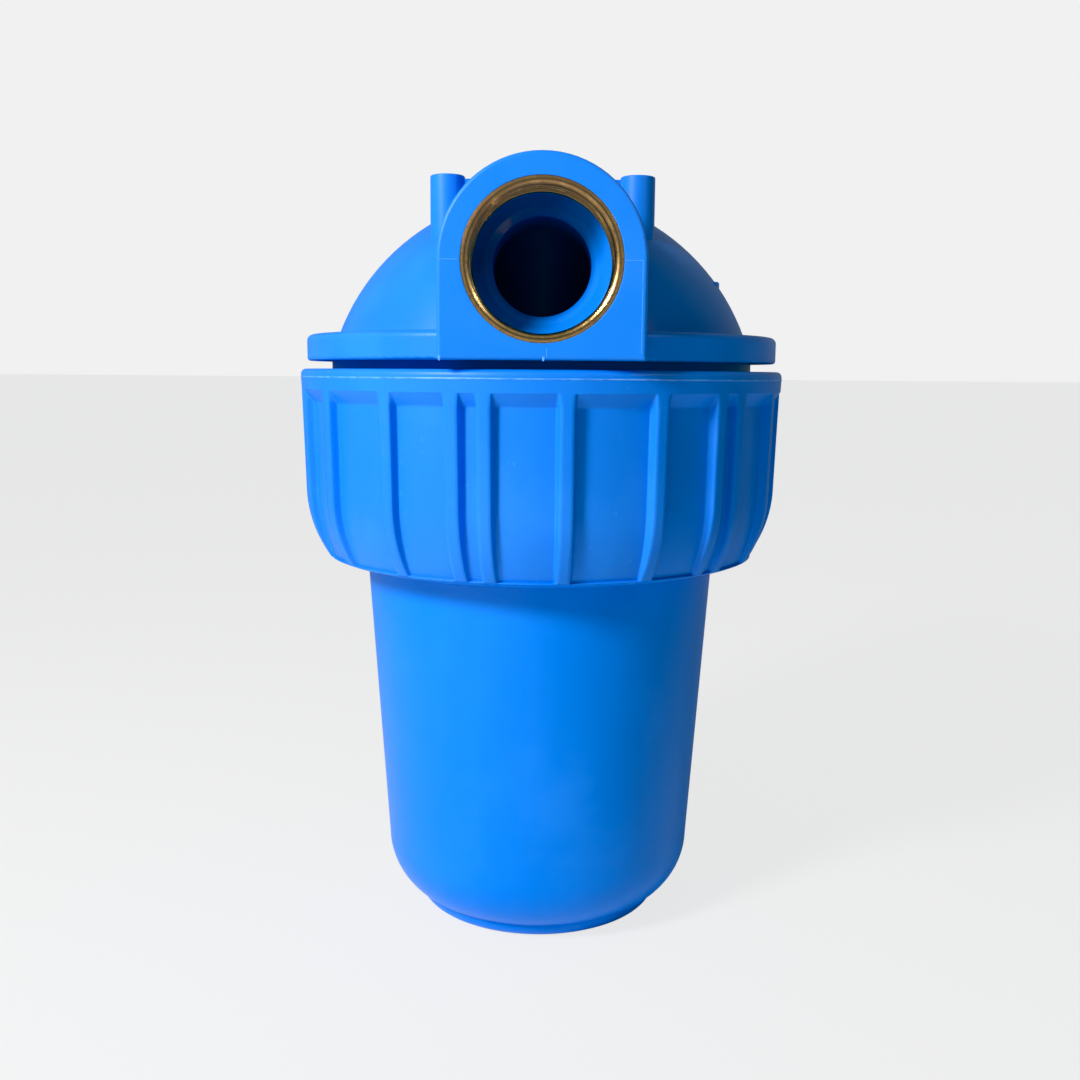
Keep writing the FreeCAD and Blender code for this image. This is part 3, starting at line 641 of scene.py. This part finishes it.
def rib_angles():
    """Angle of each rib about Z: the camera's side, -Y, is angle 0, and +X is a quarter turn."""
    angles = []
    for group in range(RIB_GROUPS):
        first = FIRST_PAIR + group * TURN / RIB_GROUPS
        angles += [first - PAIR_HALF, first + PAIR_HALF]
        angles += [first + SINGLE_STEP, first + 2 * SINGLE_STEP]
    return sorted(angle % TURN for angle in angles)


def rib_columns(angles):
    """Column angles: close together over each rib's sides, wider apart across the panels."""
    columns = []
    across = [-x for x in reversed(RIB_SIDE)] + RIB_CREST + RIB_SIDE
    for index, angle in enumerate(angles):
        columns += [angle + x / NUT["panel_r"] for x in across]
        start = columns[-1]
        end = angles[(index + 1) % len(angles)] - RIB_SIDE[-1] / NUT["panel_r"]
        gap = (end - start) % TURN
        parts = max(1, int(round(gap / PANEL_STEP)))
        columns += [start + gap * k / parts for k in range(1, parts)]
    return columns


def ridge(offset):
    """Height from 0 to 1 of a trapezoidal thread at an axial offset from its ridge's middle."""
    offset = abs((offset + THREAD_PITCH / 2) % THREAD_PITCH - THREAD_PITCH / 2)
    flank = THREAD_BASE / 2 - THREAD_CREST / 2 + 2 * THREAD_SOFT
    return ease((THREAD_BASE / 2 + THREAD_SOFT - offset) / flank)


def on_arc(middle, radius, z):
    """Radius of the nut's curved foot at a height."""
    return middle + math.sqrt(radius ** 2 - (NUT["curve_z"] - z) ** 2)


def panel_radius(z):
    """Radius of a recessed panel at a height."""
    n = NUT
    if z >= n["curve_z"]:
        share = (z - n["curve_z"]) / (n["panel_top_z"] - n["curve_z"])
        return n["panel_r"] + (n["panel_top_r"] - n["panel_r"]) * share
    return on_arc(n["panel_r"] - n["panel_curve"], n["panel_curve"], z)


def rib_radius(z):
    """Radius of a rib's crest at a height."""
    n = NUT
    if z >= n["curve_z"]:
        share = (z - n["curve_z"]) / (n["band_z"] - n["curve_z"])
        return n["rib_r"] + (n["band_r"] - n["rib_r"]) * share
    return on_arc(n["rib_r"] - n["rib_curve"], n["rib_curve"], z)


def nut_outside():
    """Outline of the nut between two ribs, from its top edge down to its foot."""
    n = NUT
    edge = n["edge_round"]
    line_z = n["parting_z"]
    lip_r = n["r"] - n["line_step"]
    panel_z = n["panel_top_z"] - n["panel_start"]
    last_z = n["rim_z"] + n["rim_last"]
    outline = [(lip_r - edge, n["top"])]
    outline += arc_points((lip_r - edge, n["top"] - edge), edge, QUARTER, 0, 2 * ARC_STEP)
    outline += [
        (lip_r, line_z + n["line_step"] + n["line_above"]),
        (lip_r, line_z + n["line_step"]),
        (n["r"], line_z),
        (n["r"], line_z - n["line_crest"]),
        (lip_r, line_z - n["line_foot"]),
        (lip_r, line_z - n["line_below"]),
    ]
    outline += smooth_outline([
        (lip_r - n["lip_draft"], line_z - n["lip_start"], 0),
        (n["band_r"], n["band_z"], n["band_round"]),
        (n["panel_top_r"], n["panel_top_z"], n["panel_round"]),
        (panel_radius(panel_z), panel_z, 0),
    ], guard=0.1)
    heights = [panel_z + (last_z - panel_z) * k / PANEL_ROWS for k in range(1, PANEL_ROWS + 1)]
    outline += [(panel_radius(z), z) for z in heights]
    outline += smooth_outline([
        (panel_radius(n["rim_z"] + n["rim_above"]), n["rim_z"] + n["rim_above"], 0),
        (panel_radius(n["rim_z"]), n["rim_z"], n["rim_corner"]),
        (rib_radius(n["rim_z"]), n["rim_z"] - n["rim_drop"], n["rim_round"]),
        (n["bevel_r"], n["bevel_z"], n["bevel_round"]),
        (n["foot_r"], n["bottom"], n["foot_round"]),
        (n["hole_r"] + n["foot_flat"], n["bottom"], 0),
    ], guard=0.08)
    return outline


def nut_inside(low, high):
    """Outline of the nut's seat and bore, from its foot up to its top; the thread is cut between
    low and high, where the points are close together.
    """
    n = NUT
    sharp = n["bore_round"]
    outline = smooth_outline([
        (n["hole_r"] + n["hole_flat"], n["bottom"], 0),
        (n["hole_r"], n["bottom"], n["hole_round"]),
        (n["hole_r"], n["seat_low_z"], n["hole_round"]),
        (n["seat_r"], n["seat_low_z"] + n["seat_r"] - n["hole_r"], n["hole_round"]),
        (n["seat_r"], n["bore_low_z"], sharp),
        (n["bore_r"], n["bore_low_z"] + n["bore_r"] - n["seat_r"], sharp),
        (n["bore_r"], low, 0),
    ])
    count = int((high - low) / THREAD_STEP)
    outline += [(n["bore_r"], low + (high - low) * k / count) for k in range(1, count)]
    outline += smooth_outline([
        (n["bore_r"], high, 0),
        (n["bore_r"], n["top"] - n["mouth"], n["mouth_round"]),
        (n["bore_r"] + n["mouth"], n["top"], sharp),
        (n["bore_r"] + n["hole_flat"], n["top"], 0),
    ])
    return outline


def make_nut():
    """Ring nut: lip band with its parting line, ribs, curved foot and two-start thread."""
    n = NUT
    low = n["thread_low_z"] - THREAD_END
    high = n["thread_low_z"] + n["thread_rise"] + THREAD_END
    outside = nut_outside()
    outline = outside + nut_inside(low, high)
    ribs = rib_angles()
    columns = rib_columns(ribs)

    def off_rib(angle):
        """Distance round the nut to the nearest rib's middle."""
        apart = [abs((angle - rib + math.pi) % TURN - math.pi) for rib in ribs]
        return n["panel_r"] * min(apart)

    mask = [ease((RIB_FOOT - off_rib(angle)) / (RIB_FOOT - RIB_TOP)) for angle in columns]
    rib_low = n["rim_z"] - n["rib_under"]
    rib_high = n["band_z"] + n["rib_over"]

    def place(i, j):
        radius, z = outline[i]
        angle = columns[j]
        if i < len(outside) and rib_low < z < rib_high:
            radius += max(0.0, rib_radius(z) - radius) * mask[j]
        if i >= len(outside) and low < z < high:
            helix = n["thread_low_z"] + THREAD_LEAD * (angle - QUARTER) / TURN
            fade = ease(min(z - low, high - z) / THREAD_FADE)
            radius -= (n["bore_r"] - n["thread_r"]) * ridge(z - helix) * fade
        return radius * math.sin(angle), -radius * math.cos(angle), z

    return ring_mesh("ring_nut_body", len(outline), len(columns), place)


# ---------------------------------------------------------------- bowl
BOWL = {
    "recess_r": 24.0,
    "recess_depth": 1.2,
    "foot_r": 28.5,
    "foot_edge_r": 4.2,
    "crease_r": 33.5,
    "corner_z": 18.5,
    "corner_round": 17.4,
    "low_r": 40.8,
    "high_r": 46.1,
    "wall": 4.0,
    "flare_z": 97.4,
    "rim_r": 54.2,
    "rim_z": 110.0,
    "rim_inner_r": 46.8,
    "groove_in_r": 48.6,
    "groove_out_r": 52.4,
    "groove_depth": 3.3,
    "post_seat_r": 17.0,
    "post_seat_z": 8.2,
    "post_r": 13.4,
    "post_inner_r": 10.5,
    "post_top_z": 14.0,
    # small steps where one stretch of the outline meets the next
    "floor_start": 4,
    "foot_end": 0.8,
    "crease_out": 0.15,
    "draft": 0.03,
    "above_corner": 0.5,
    "foot_above": 0.1,
    "crease_down": 0.02,
    "crease_in": 0.2,
    "floor_end": 0.9,
    "post_end": 2.5,
    # angles: where the foot's and the corner's arcs stop short, and the steps that they are cut in
    "foot_stop": math.radians(4),
    "crease_skip": 0.01,
    "foot_step": math.radians(9),
    "corner_step": math.radians(5),
    "inner_step": math.radians(7),
    # how much edges are rounded, from the sharpest to the softest
    "crisp": 0.2,
    "sharp": 0.3,
    "small": 0.4,
    "plain": 0.5,
    "blunt": 0.6,
    "soft": 1.0,
    "softer": 2.0,
    "softest": 3.0,
}


def make_bowl():
    """Tapered bowl with its foot ring, flare, O-ring groove and centring post."""
    b = BOWL
    recess = b["recess_depth"]
    edge_r = b["foot_edge_r"]
    corner_mid = (b["low_r"] - b["corner_round"], b["corner_z"])
    crease = math.acos((b["crease_r"] - corner_mid[0]) / b["corner_round"])
    crease_z = b["corner_z"] - b["corner_round"] * math.sin(crease)
    foot_top = (b["foot_r"] + edge_r, edge_r)
    flare_top_z = b["flare_z"] + b["rim_r"] - b["high_r"]
    groove_z = b["rim_z"] - b["groove_depth"]
    floor_z = b["corner_z"] - b["corner_round"] + b["wall"]
    points = smooth_outline([
        (b["recess_r"] - b["floor_start"], recess, 0),
        (b["recess_r"] - recess, recess, b["blunt"]),
        (b["recess_r"], 0, b["plain"]),
        (b["foot_r"] - b["foot_end"], 0, 0),
    ])
    points += arc_points((b["foot_r"], edge_r), edge_r, -QUARTER, -b["foot_stop"], b["foot_step"])
    points += smooth_outline([
        (foot_top[0], foot_top[1] + b["foot_above"], 0),
        (foot_top[0] + b["crease_out"], crease_z - b["crease_down"], b["sharp"]),
        (b["crease_r"] - b["crease_in"], crease_z, 0),
    ], guard=0.05)
    points += arc_points(corner_mid, b["corner_round"], b["crease_skip"] - crease, 0,
                         b["corner_step"])
    points += smooth_outline([
        (b["low_r"] + b["draft"], b["corner_z"] + b["above_corner"], 0),
        (b["high_r"], b["flare_z"], b["softer"]),
        (b["rim_r"], flare_top_z, b["soft"]),
        (b["rim_r"], b["rim_z"], b["plain"]),
        (b["groove_out_r"], b["rim_z"], b["crisp"]),
        (b["groove_out_r"], groove_z, b["small"]),
        (b["groove_in_r"], groove_z, b["small"]),
        (b["groove_in_r"], b["rim_z"], b["crisp"]),
        (b["rim_inner_r"], b["rim_z"], b["blunt"]),
        (b["rim_inner_r"], flare_top_z - b["wall"] / 2, b["softer"]),
        (b["high_r"] - b["wall"], b["flare_z"], b["softest"]),
        (b["low_r"] - b["wall"] + b["draft"], b["corner_z"] + b["above_corner"], 0),
    ])
    points += arc_points(corner_mid, b["corner_round"] - b["wall"], 0, -QUARTER, b["inner_step"])
    points += smooth_outline([
        (corner_mid[0] - b["floor_end"], floor_z, 0),
        (b["post_seat_r"], floor_z, b["blunt"]),
        (b["post_seat_r"], b["post_seat_z"], b["sharp"]),
        (b["post_r"], b["post_seat_z"], b["sharp"]),
        (b["post_r"], b["post_top_z"], b["plain"]),
        (b["post_inner_r"], b["post_top_z"], b["sharp"]),
        (b["post_inner_r"], floor_z, b["blunt"]),
        (b["post_inner_r"] - b["post_end"], floor_z, 0),
    ])
    return lathe("bowl_body", points)


# ---------------------------------------------------------------- inserts
INSERT_LENGTH = 11.0
INSERT_FACE_R = 17.2
INSERT_BODY_R = 18.8
INSERT_COLLAR = 2.0
INSERT_TAIL = 1.5
G1_PITCH = 2.309
G1_MINOR_R = 15.15
G1_MAJOR_R = 16.45
# the rounded mouth: a narrow flat face, then a convex lead-in to the thread's minor radius
MOUTH_R = 16.75
MOUTH_ROUND = MOUTH_R - G1_MINOR_R
BACK_LAND = 1.3
TOOL_GROOVE = 0.05
TOOL_STEP = 0.62
# where the thread starts behind the face, and the lengths over which its two ends fade
THREAD_START = 0.9
START_FADE = 0.8
TAIL_FADE = 0.6
MOUTH_ROWS = 36
BORE_ROWS = 78
INSERT_COLUMNS = 192
# roundings of the brass's outer edges
EDGE_ROUND = 0.2
STEP_ROUND = 0.1
FACE_ROUND = 0.15
# where its outside's outline begins and ends, outwards of the bore and of the mouth, and how far
# before the back the bore's last row of points lies
BACK_FLAT = 0.2
FACE_FLAT = 0.02
LAST_ROW = 0.1


def thread_radius(z, angle):
    """Radius of the G1 thread at a depth and an angle, fading to plain lands at both ends."""
    phase = angle / TURN - z / G1_PITCH
    groove = 0.5 + 0.5 * math.cos(TURN * phase)
    fade_in = ease((-z - THREAD_START) / START_FADE)
    fade_out = ease((z + INSERT_LENGTH - BACK_LAND) / TAIL_FADE)
    return G1_MINOR_R + (G1_MAJOR_R - G1_MINOR_R) * groove * fade_in * fade_out


def mouth_radius(z):
    """Radius of the rounded mouth at a depth, with the shallow grooves that the tool left."""
    share = min(1.0, -z / MOUTH_ROUND)
    around = MOUTH_ROUND * math.acos(1 - share)
    groove = TOOL_GROOVE * math.sin(TURN * around / TOOL_STEP) * (1 - share)
    return MOUTH_R - MOUTH_ROUND * math.sqrt(1 - (1 - share) ** 2) + groove


def make_insert(name, side):
    """Brass ring with a G1 thread; its own +Z looks out of the port, and its face is at z = 0."""
    back = -INSERT_LENGTH
    outside = smooth_outline([
        (G1_MINOR_R + BACK_FLAT, back, 0),
        (INSERT_FACE_R, back, EDGE_ROUND),
        (INSERT_FACE_R, back + INSERT_TAIL, STEP_ROUND),
        (INSERT_BODY_R, back + INSERT_TAIL, EDGE_ROUND),
        (INSERT_BODY_R, -INSERT_COLLAR, EDGE_ROUND),
        (INSERT_FACE_R, -INSERT_COLLAR, STEP_ROUND),
        (INSERT_FACE_R, 0.0, FACE_ROUND),
        (MOUTH_R + FACE_FLAT, 0.0, 0),
    ])
    turns = [QUARTER * k / MOUTH_ROWS for k in range(1, MOUTH_ROWS + 1)]
    depths = [-MOUTH_ROUND * (1 - math.cos(turn)) for turn in turns]
    start = depths[-1]
    depths += [start + (back + LAST_ROW - start) * k / BORE_ROWS for k in range(1, BORE_ROWS + 1)]
    outline = outside + [(G1_MINOR_R, z) for z in depths]

    def place(i, j):
        radius, z = outline[i]
        angle = TURN * j / INSERT_COLUMNS
        if i >= len(outside):
            radius = max(mouth_radius(z), thread_radius(z, angle))
        return radius * math.cos(angle), radius * math.sin(angle), z

    obj = ring_mesh(name, len(outline), INSERT_COLUMNS, place)
    obj.location = (0, side * PORT_REACH, PORT_Z)
    obj.rotation_euler = (-side * QUARTER, 0, 0)
    return obj


# ---------------------------------------------------------------- pleated cloth
PLEATS = 64
POINTS_PER_PLEAT = 16
CLOTH_ROWS = 14
PLEAT_ROOT_R = 18.35
PLEAT_TIP_GAP = 0.55
CLOTH_HALF = 0.36
# how far a fold is squared off, and how far it leans, by its own amount and along its height
FOLD_SQUARE = 0.35
FOLD_LEAN = 0.010
HEIGHT_LEAN = 0.008
# the unevenness of the lean: radians from fold to fold, and radians per millimetre of height
FOLD_STEPS = (1.7, 2.3)
HEIGHT_WAVE = 0.11


def fold_point(step, z, tip_r):
    """Middle of the cloth at one step round its folds, at a height."""
    share = step / POINTS_PER_PLEAT
    wave = math.cos(TURN * share)
    reach = 0.5 + 0.5 * wave * (1 + FOLD_SQUARE - FOLD_SQUARE * wave * wave)
    number = math.floor(share + 0.5) % PLEATS
    lean = FOLD_LEAN * math.sin(FOLD_STEPS[0] * number)
    lean += HEIGHT_LEAN * math.sin(HEIGHT_WAVE * z + FOLD_STEPS[1] * number)
    angle = TURN * share / PLEATS + lean * reach
    radius = PLEAT_ROOT_R + (tip_r - PLEAT_ROOT_R) * reach
    return Vector((radius * math.cos(angle), radius * math.sin(angle)))


def make_media():
    """Pleated cloth: rounded folds between the core and the caps' rims, a little uneven in lean."""
    low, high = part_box("cartridge_media")
    rows = CLOTH_ROWS
    count = PLEATS * POINTS_PER_PLEAT
    tip_r = high.x / MM - PLEAT_TIP_GAP
    z_low = low.z / MM
    z_high = high.z / MM
    points = []
    for row in range(rows):
        z = z_low + (z_high - z_low) * row / (rows - 1)
        line = [fold_point(step, z, tip_r) for step in range(count)]
        for side in (1, -1):
            for step in range(count):
                along = (line[(step + 1) % count] - line[step - 1]).normalized()
                out = Vector((along.y, -along.x)) * side * CLOTH_HALF
                points.append((line[step].x + out.x, line[step].y + out.y, z))
    faces = []
    wide = 2 * count
    for row in range(rows - 1):
        for step in range(count):
            beside = (step + 1) % count
            a = row * wide
            b = a + wide
            faces.append((a + step, a + beside, b + beside, b + step))
            a += count
            b += count
            faces.append((a + beside, a + step, b + step, b + beside))
    top = (rows - 1) * wide
    for step in range(count):
        beside = (step + 1) % count
        faces.append((step, count + step, count + beside, beside))
        faces.append((top + step, top + beside, top + count + beside, top + count + step))
    return make_object("pleated_cloth", points, faces)


# ---------------------------------------------------------------- mould marks on the head
# how far the head's face lies behind the brass's, and a ridge's foot and crest behind and before
# the head's face
FACE_BACK = 0.05
MARK_SINK = 0.02
MARK_PROUD = 0.04
MARK_HALF = 0.09
# where the hairlines run across, from the port's axis, and the height of the face's lower end
MARK_LEFT = -21.6
MARK_RIGHT = 21.2
MARK_EDGE = 21.1
MARK_MIDDLE = 1.1
MARK_LOW_Z = 145.3
# where the level hairlines stop short of the brass, and the heights over the face's lower end at
# which the upright ones stop
MARK_GAPS = (0.5, 0.3)
MARK_EDGE_STOP = 1.5
MARK_MIDDLE_STOPS = (2.6, 0.6)
# a nib of flash: (half width, height over the lower end) at its top, its bottom and its tip
NIB_XS = (MARK_LEFT, 0.4)
NIB_TOP = (0.35, 0.9)
NIB_BOTTOM = (0.15, -0.25)
NIB_TIP = (0.08, 0.1)


def make_mould_marks():
    """Hairline ridges that the mould's joints leave on the inlet's face, and two nibs of flash."""
    face = FACE_BACK - PORT_REACH / MM
    level = PORT_Z / MM
    low = MARK_LOW_Z
    lines = [
        ((MARK_LEFT, level), (-INSERT_FACE_R - MARK_GAPS[0], level)),
        ((INSERT_FACE_R + MARK_GAPS[1], level), (MARK_RIGHT, level)),
        ((MARK_EDGE, level), (MARK_EDGE, low + MARK_EDGE_STOP)),
        tuple((MARK_MIDDLE, low + stop) for stop in MARK_MIDDLE_STOPS),
    ]
    points = []
    faces = []

    def add(corners, tips):
        """A low ridge over corners, with its crest along the tips."""
        base = len(points)
        points.extend((x, face + MARK_SINK, z) for x, z in corners)
        points.extend((x, face - MARK_PROUD, z) for x, z in tips)
        corner = [base + k for k in range(len(corners))]
        first, second = base + len(corners), base + len(corners) + 1
        faces.extend([
            (corner[0], corner[1], second, first), (corner[2], corner[3], first, second),
            (corner[1], corner[2], second), (corner[3], corner[0], first),
            (corner[3], corner[2], corner[1], corner[0]),
        ])

    for start, end in lines:
        start = Vector(start)
        end = Vector(end)
        along = (end - start).normalized()
        side = Vector((along.y, -along.x)) * MARK_HALF
        corners = [start + side, end + side, end - side, start - side]
        add(corners, [start + along * MARK_HALF, end - along * MARK_HALF])
    for x in NIB_XS:
        top, bottom, tip = [[(x - half, low + up), (x + half, low + up)]
                            for half, up in (NIB_TOP, NIB_BOTTOM, NIB_TIP)]
        add(top + bottom[::-1], tip)
    return make_object("head_mould_marks", points, faces, smooth=False)


# ---------------------------------------------------------------- stage, light and camera
PAPER = 0.88
FLOOR_SPAN = 40.0
FLOOR_PAINT = 0.96
FLOOR_ROUGHNESS = 0.8
FLOOR_SPECULAR = 0.1
# the share of what the camera sees of the floor that is the floor's own glow
FLOOR_GLOW = 0.88
# the world's light and its extra shine for glossy rays, from its -X side to its +X side
WORLD_ACROSS = (-0.8, 0.6)
WORLD_LIGHT = (0.42, 0.13)
SHINE_ACROSS = (-0.2, 0.6)
SHINE_LIGHT = (0.0, 0.4)
RED_VEIL = 0.016
KEY_AZIMUTH = math.radians(-43)
KEY_HEIGHT = math.radians(29)
KEY_DISTANCE = 0.56
KEY_WIDTH = 0.13
KEY_STRENGTH = 3.7
GLINT_AZIMUTH = math.radians(48)
GLINT_HEIGHT = math.radians(34)
GLINT_DISTANCE = 0.5
GLINT_WIDTH = 0.07
GLINT_STRENGTH = 0.5
LIGHT_TARGET = Vector((0, 0, 0.12))
CAMERA_DISTANCE = 0.3125
CAMERA_HEIGHT = 0.1424
CAMERA_PITCH = math.radians(8.08)
CAMERA_ROLL = math.radians(0.45)
CAMERA_LENS = 38.98
CAMERA_NEAREST = 0.01


def make_floor():
    """Pale floor: nearly as white as the backdrop to the camera, with a faint shadow."""
    s = FLOOR_SPAN
    mesh = bpy.data.meshes.new("floor")
    mesh.from_pydata([(-s, -s, 0), (s, -s, 0), (s, s, 0), (-s, s, 0)], [], [(0, 1, 2, 3)])
    floor = bpy.data.objects.new("floor", mesh)
    bpy.context.scene.collection.objects.link(floor)
    paint = Nodes("floor_paint")
    paint.shader.inputs["Base Color"].default_value = (FLOOR_PAINT, FLOOR_PAINT, FLOOR_PAINT, 1)
    paint.shader.inputs["Roughness"].default_value = FLOOR_ROUGHNESS
    paint.shader.inputs["Specular IOR Level"].default_value = FLOOR_SPECULAR
    glow = paint.add("ShaderNodeEmission")
    glow.inputs["Color"].default_value = (PAPER, PAPER, PAPER, 1)
    seen = paint.add("ShaderNodeLightPath").outputs["Is Camera Ray"]
    paint.mix_shaders(paint.maths("MULTIPLY", seen, FLOOR_GLOW), paint.shader.outputs["BSDF"],
                      glow.outputs["Emission"], paint.output.inputs["Surface"])
    give(floor, paint.material)


def make_lamp(name, azimuth, rise, distance, width, strength):
    """Round lamp aimed at the housing; strength is the light on it, in watts per square metre."""
    light = bpy.data.lights.new(name, "AREA")
    light.shape = "DISK"
    light.size = width
    light.energy = strength * math.pi * distance ** 2
    lamp = bpy.data.objects.new(name, light)
    level = math.cos(rise)
    away = Vector((math.sin(azimuth) * level, -math.cos(azimuth) * level, math.sin(rise)))
    lamp.rotation_euler = away.to_track_quat("Z", "Y").to_euler()
    lamp.location = LIGHT_TARGET + away * distance
    lamp.visible_camera = False
    bpy.context.scene.collection.objects.link(lamp)
    return lamp


def make_lights():
    """Soft key light close by on the front left, and a small one on the right that is only seen in
    reflections, for the brass's glints.
    """
    make_lamp("key", KEY_AZIMUTH, KEY_HEIGHT, KEY_DISTANCE, KEY_WIDTH, KEY_STRENGTH)
    glint = make_lamp("glint", GLINT_AZIMUTH, GLINT_HEIGHT, GLINT_DISTANCE, GLINT_WIDTH,
                      GLINT_STRENGTH)
    glint.visible_diffuse = False


def make_world():
    """Pale backdrop for the camera. As light it is brighter on the left than on the right, where it
    shows mostly in reflections.
    """
    world = bpy.data.worlds.new("studio")
    w = Tree(world)
    apart = w.add("ShaderNodeSeparateXYZ")
    w.join(w.add("ShaderNodeTexCoord").outputs["Generated"], apart.inputs["Vector"])
    rays = w.add("ShaderNodeLightPath")
    light = w.remap(apart.outputs["X"], *WORLD_ACROSS, *WORLD_LIGHT)
    shine = w.remap(apart.outputs["X"], *SHINE_ACROSS, *SHINE_LIGHT)
    mirrored = w.maths("MULTIPLY", shine, rays.outputs["Is Glossy Ray"])
    glow = w.add("ShaderNodeBackground")
    w.join(w.maths("ADD", light, mirrored), glow.inputs["Strength"])
    paper = w.add("ShaderNodeBackground")
    paper.inputs["Color"].default_value = (PAPER, PAPER, PAPER, 1)
    output = w.add("ShaderNodeOutputWorld")
    w.mix_shaders(rays.outputs["Is Camera Ray"], glow.outputs["Background"],
                  paper.outputs["Background"], output.inputs["Surface"])
    bpy.context.scene.world = world


def make_camera():
    """Camera in front of the inlet port, a little above the nut and looking slightly down."""
    camera = bpy.data.cameras.new("camera")
    camera.lens = CAMERA_LENS
    camera.clip_start = CAMERA_NEAREST
    ahead = Vector((0, math.cos(CAMERA_PITCH), -math.sin(CAMERA_PITCH)))
    level = Vector((1, 0, 0))
    above = level.cross(ahead)
    right = level * math.cos(CAMERA_ROLL) + above * math.sin(CAMERA_ROLL)
    up = above * math.cos(CAMERA_ROLL) - level * math.sin(CAMERA_ROLL)
    obj = bpy.data.objects.new("camera", camera)
    obj.matrix_world = Matrix((right, up, -ahead)).transposed().to_4x4()
    obj.location = (0, -CAMERA_DISTANCE, CAMERA_HEIGHT)
    bpy.context.scene.collection.objects.link(obj)
    bpy.context.scene.camera = obj


def set_grade():
    """Plain display transform, with the faint red veil over the saturated blue taken away."""
    view = bpy.context.scene.view_settings
    view.view_transform = "Standard"
    view.use_curve_mapping = True
    view.curve_mapping.black_level = (RED_VEIL, 0, 0)
    view.curve_mapping.update()


# ---------------------------------------------------------------- assembly
set_grade()
make_camera()
make_floor()
make_world()
make_lights()

head_blue = head_plastic("head_blue")
nut_blue = nut_plastic("nut_blue")
bowl_blue = finish_plastic(*blue_plastic("bowl_blue", roughness=BOWL_ROUGHNESS, red=BOWL_RED))
brass = brass_material("brass_turned")
rubber = rubber_material("black_rubber")
white = white_plastic("white_plastic")
cloth = cloth_material("filter_cloth")

give(nodes["head"], head_blue)
for name in ("bowl_oring", "cartridge_top_gasket", "cartridge_bottom_gasket"):
    give(nodes[name], rubber)
for name in ("cartridge_core", "cartridge_top_cap", "cartridge_bottom_cap"):
    give(nodes[name], white)
stand_in(make_nut(), "ring_nut", "ring_nut", nut_blue)
stand_in(make_bowl(), "bowl", "bowl", bowl_blue)
stand_in(make_insert("inlet_brass", -1), "inlet_insert", "head", brass)
stand_in(make_insert("outlet_brass", 1), "outlet_insert", "head", brass)
stand_in(make_media(), "cartridge_media", "cartridge", cloth)
marks = give(make_mould_marks(), flash_highlight_plastic("flash_highlight_blue"))
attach(marks, "head")
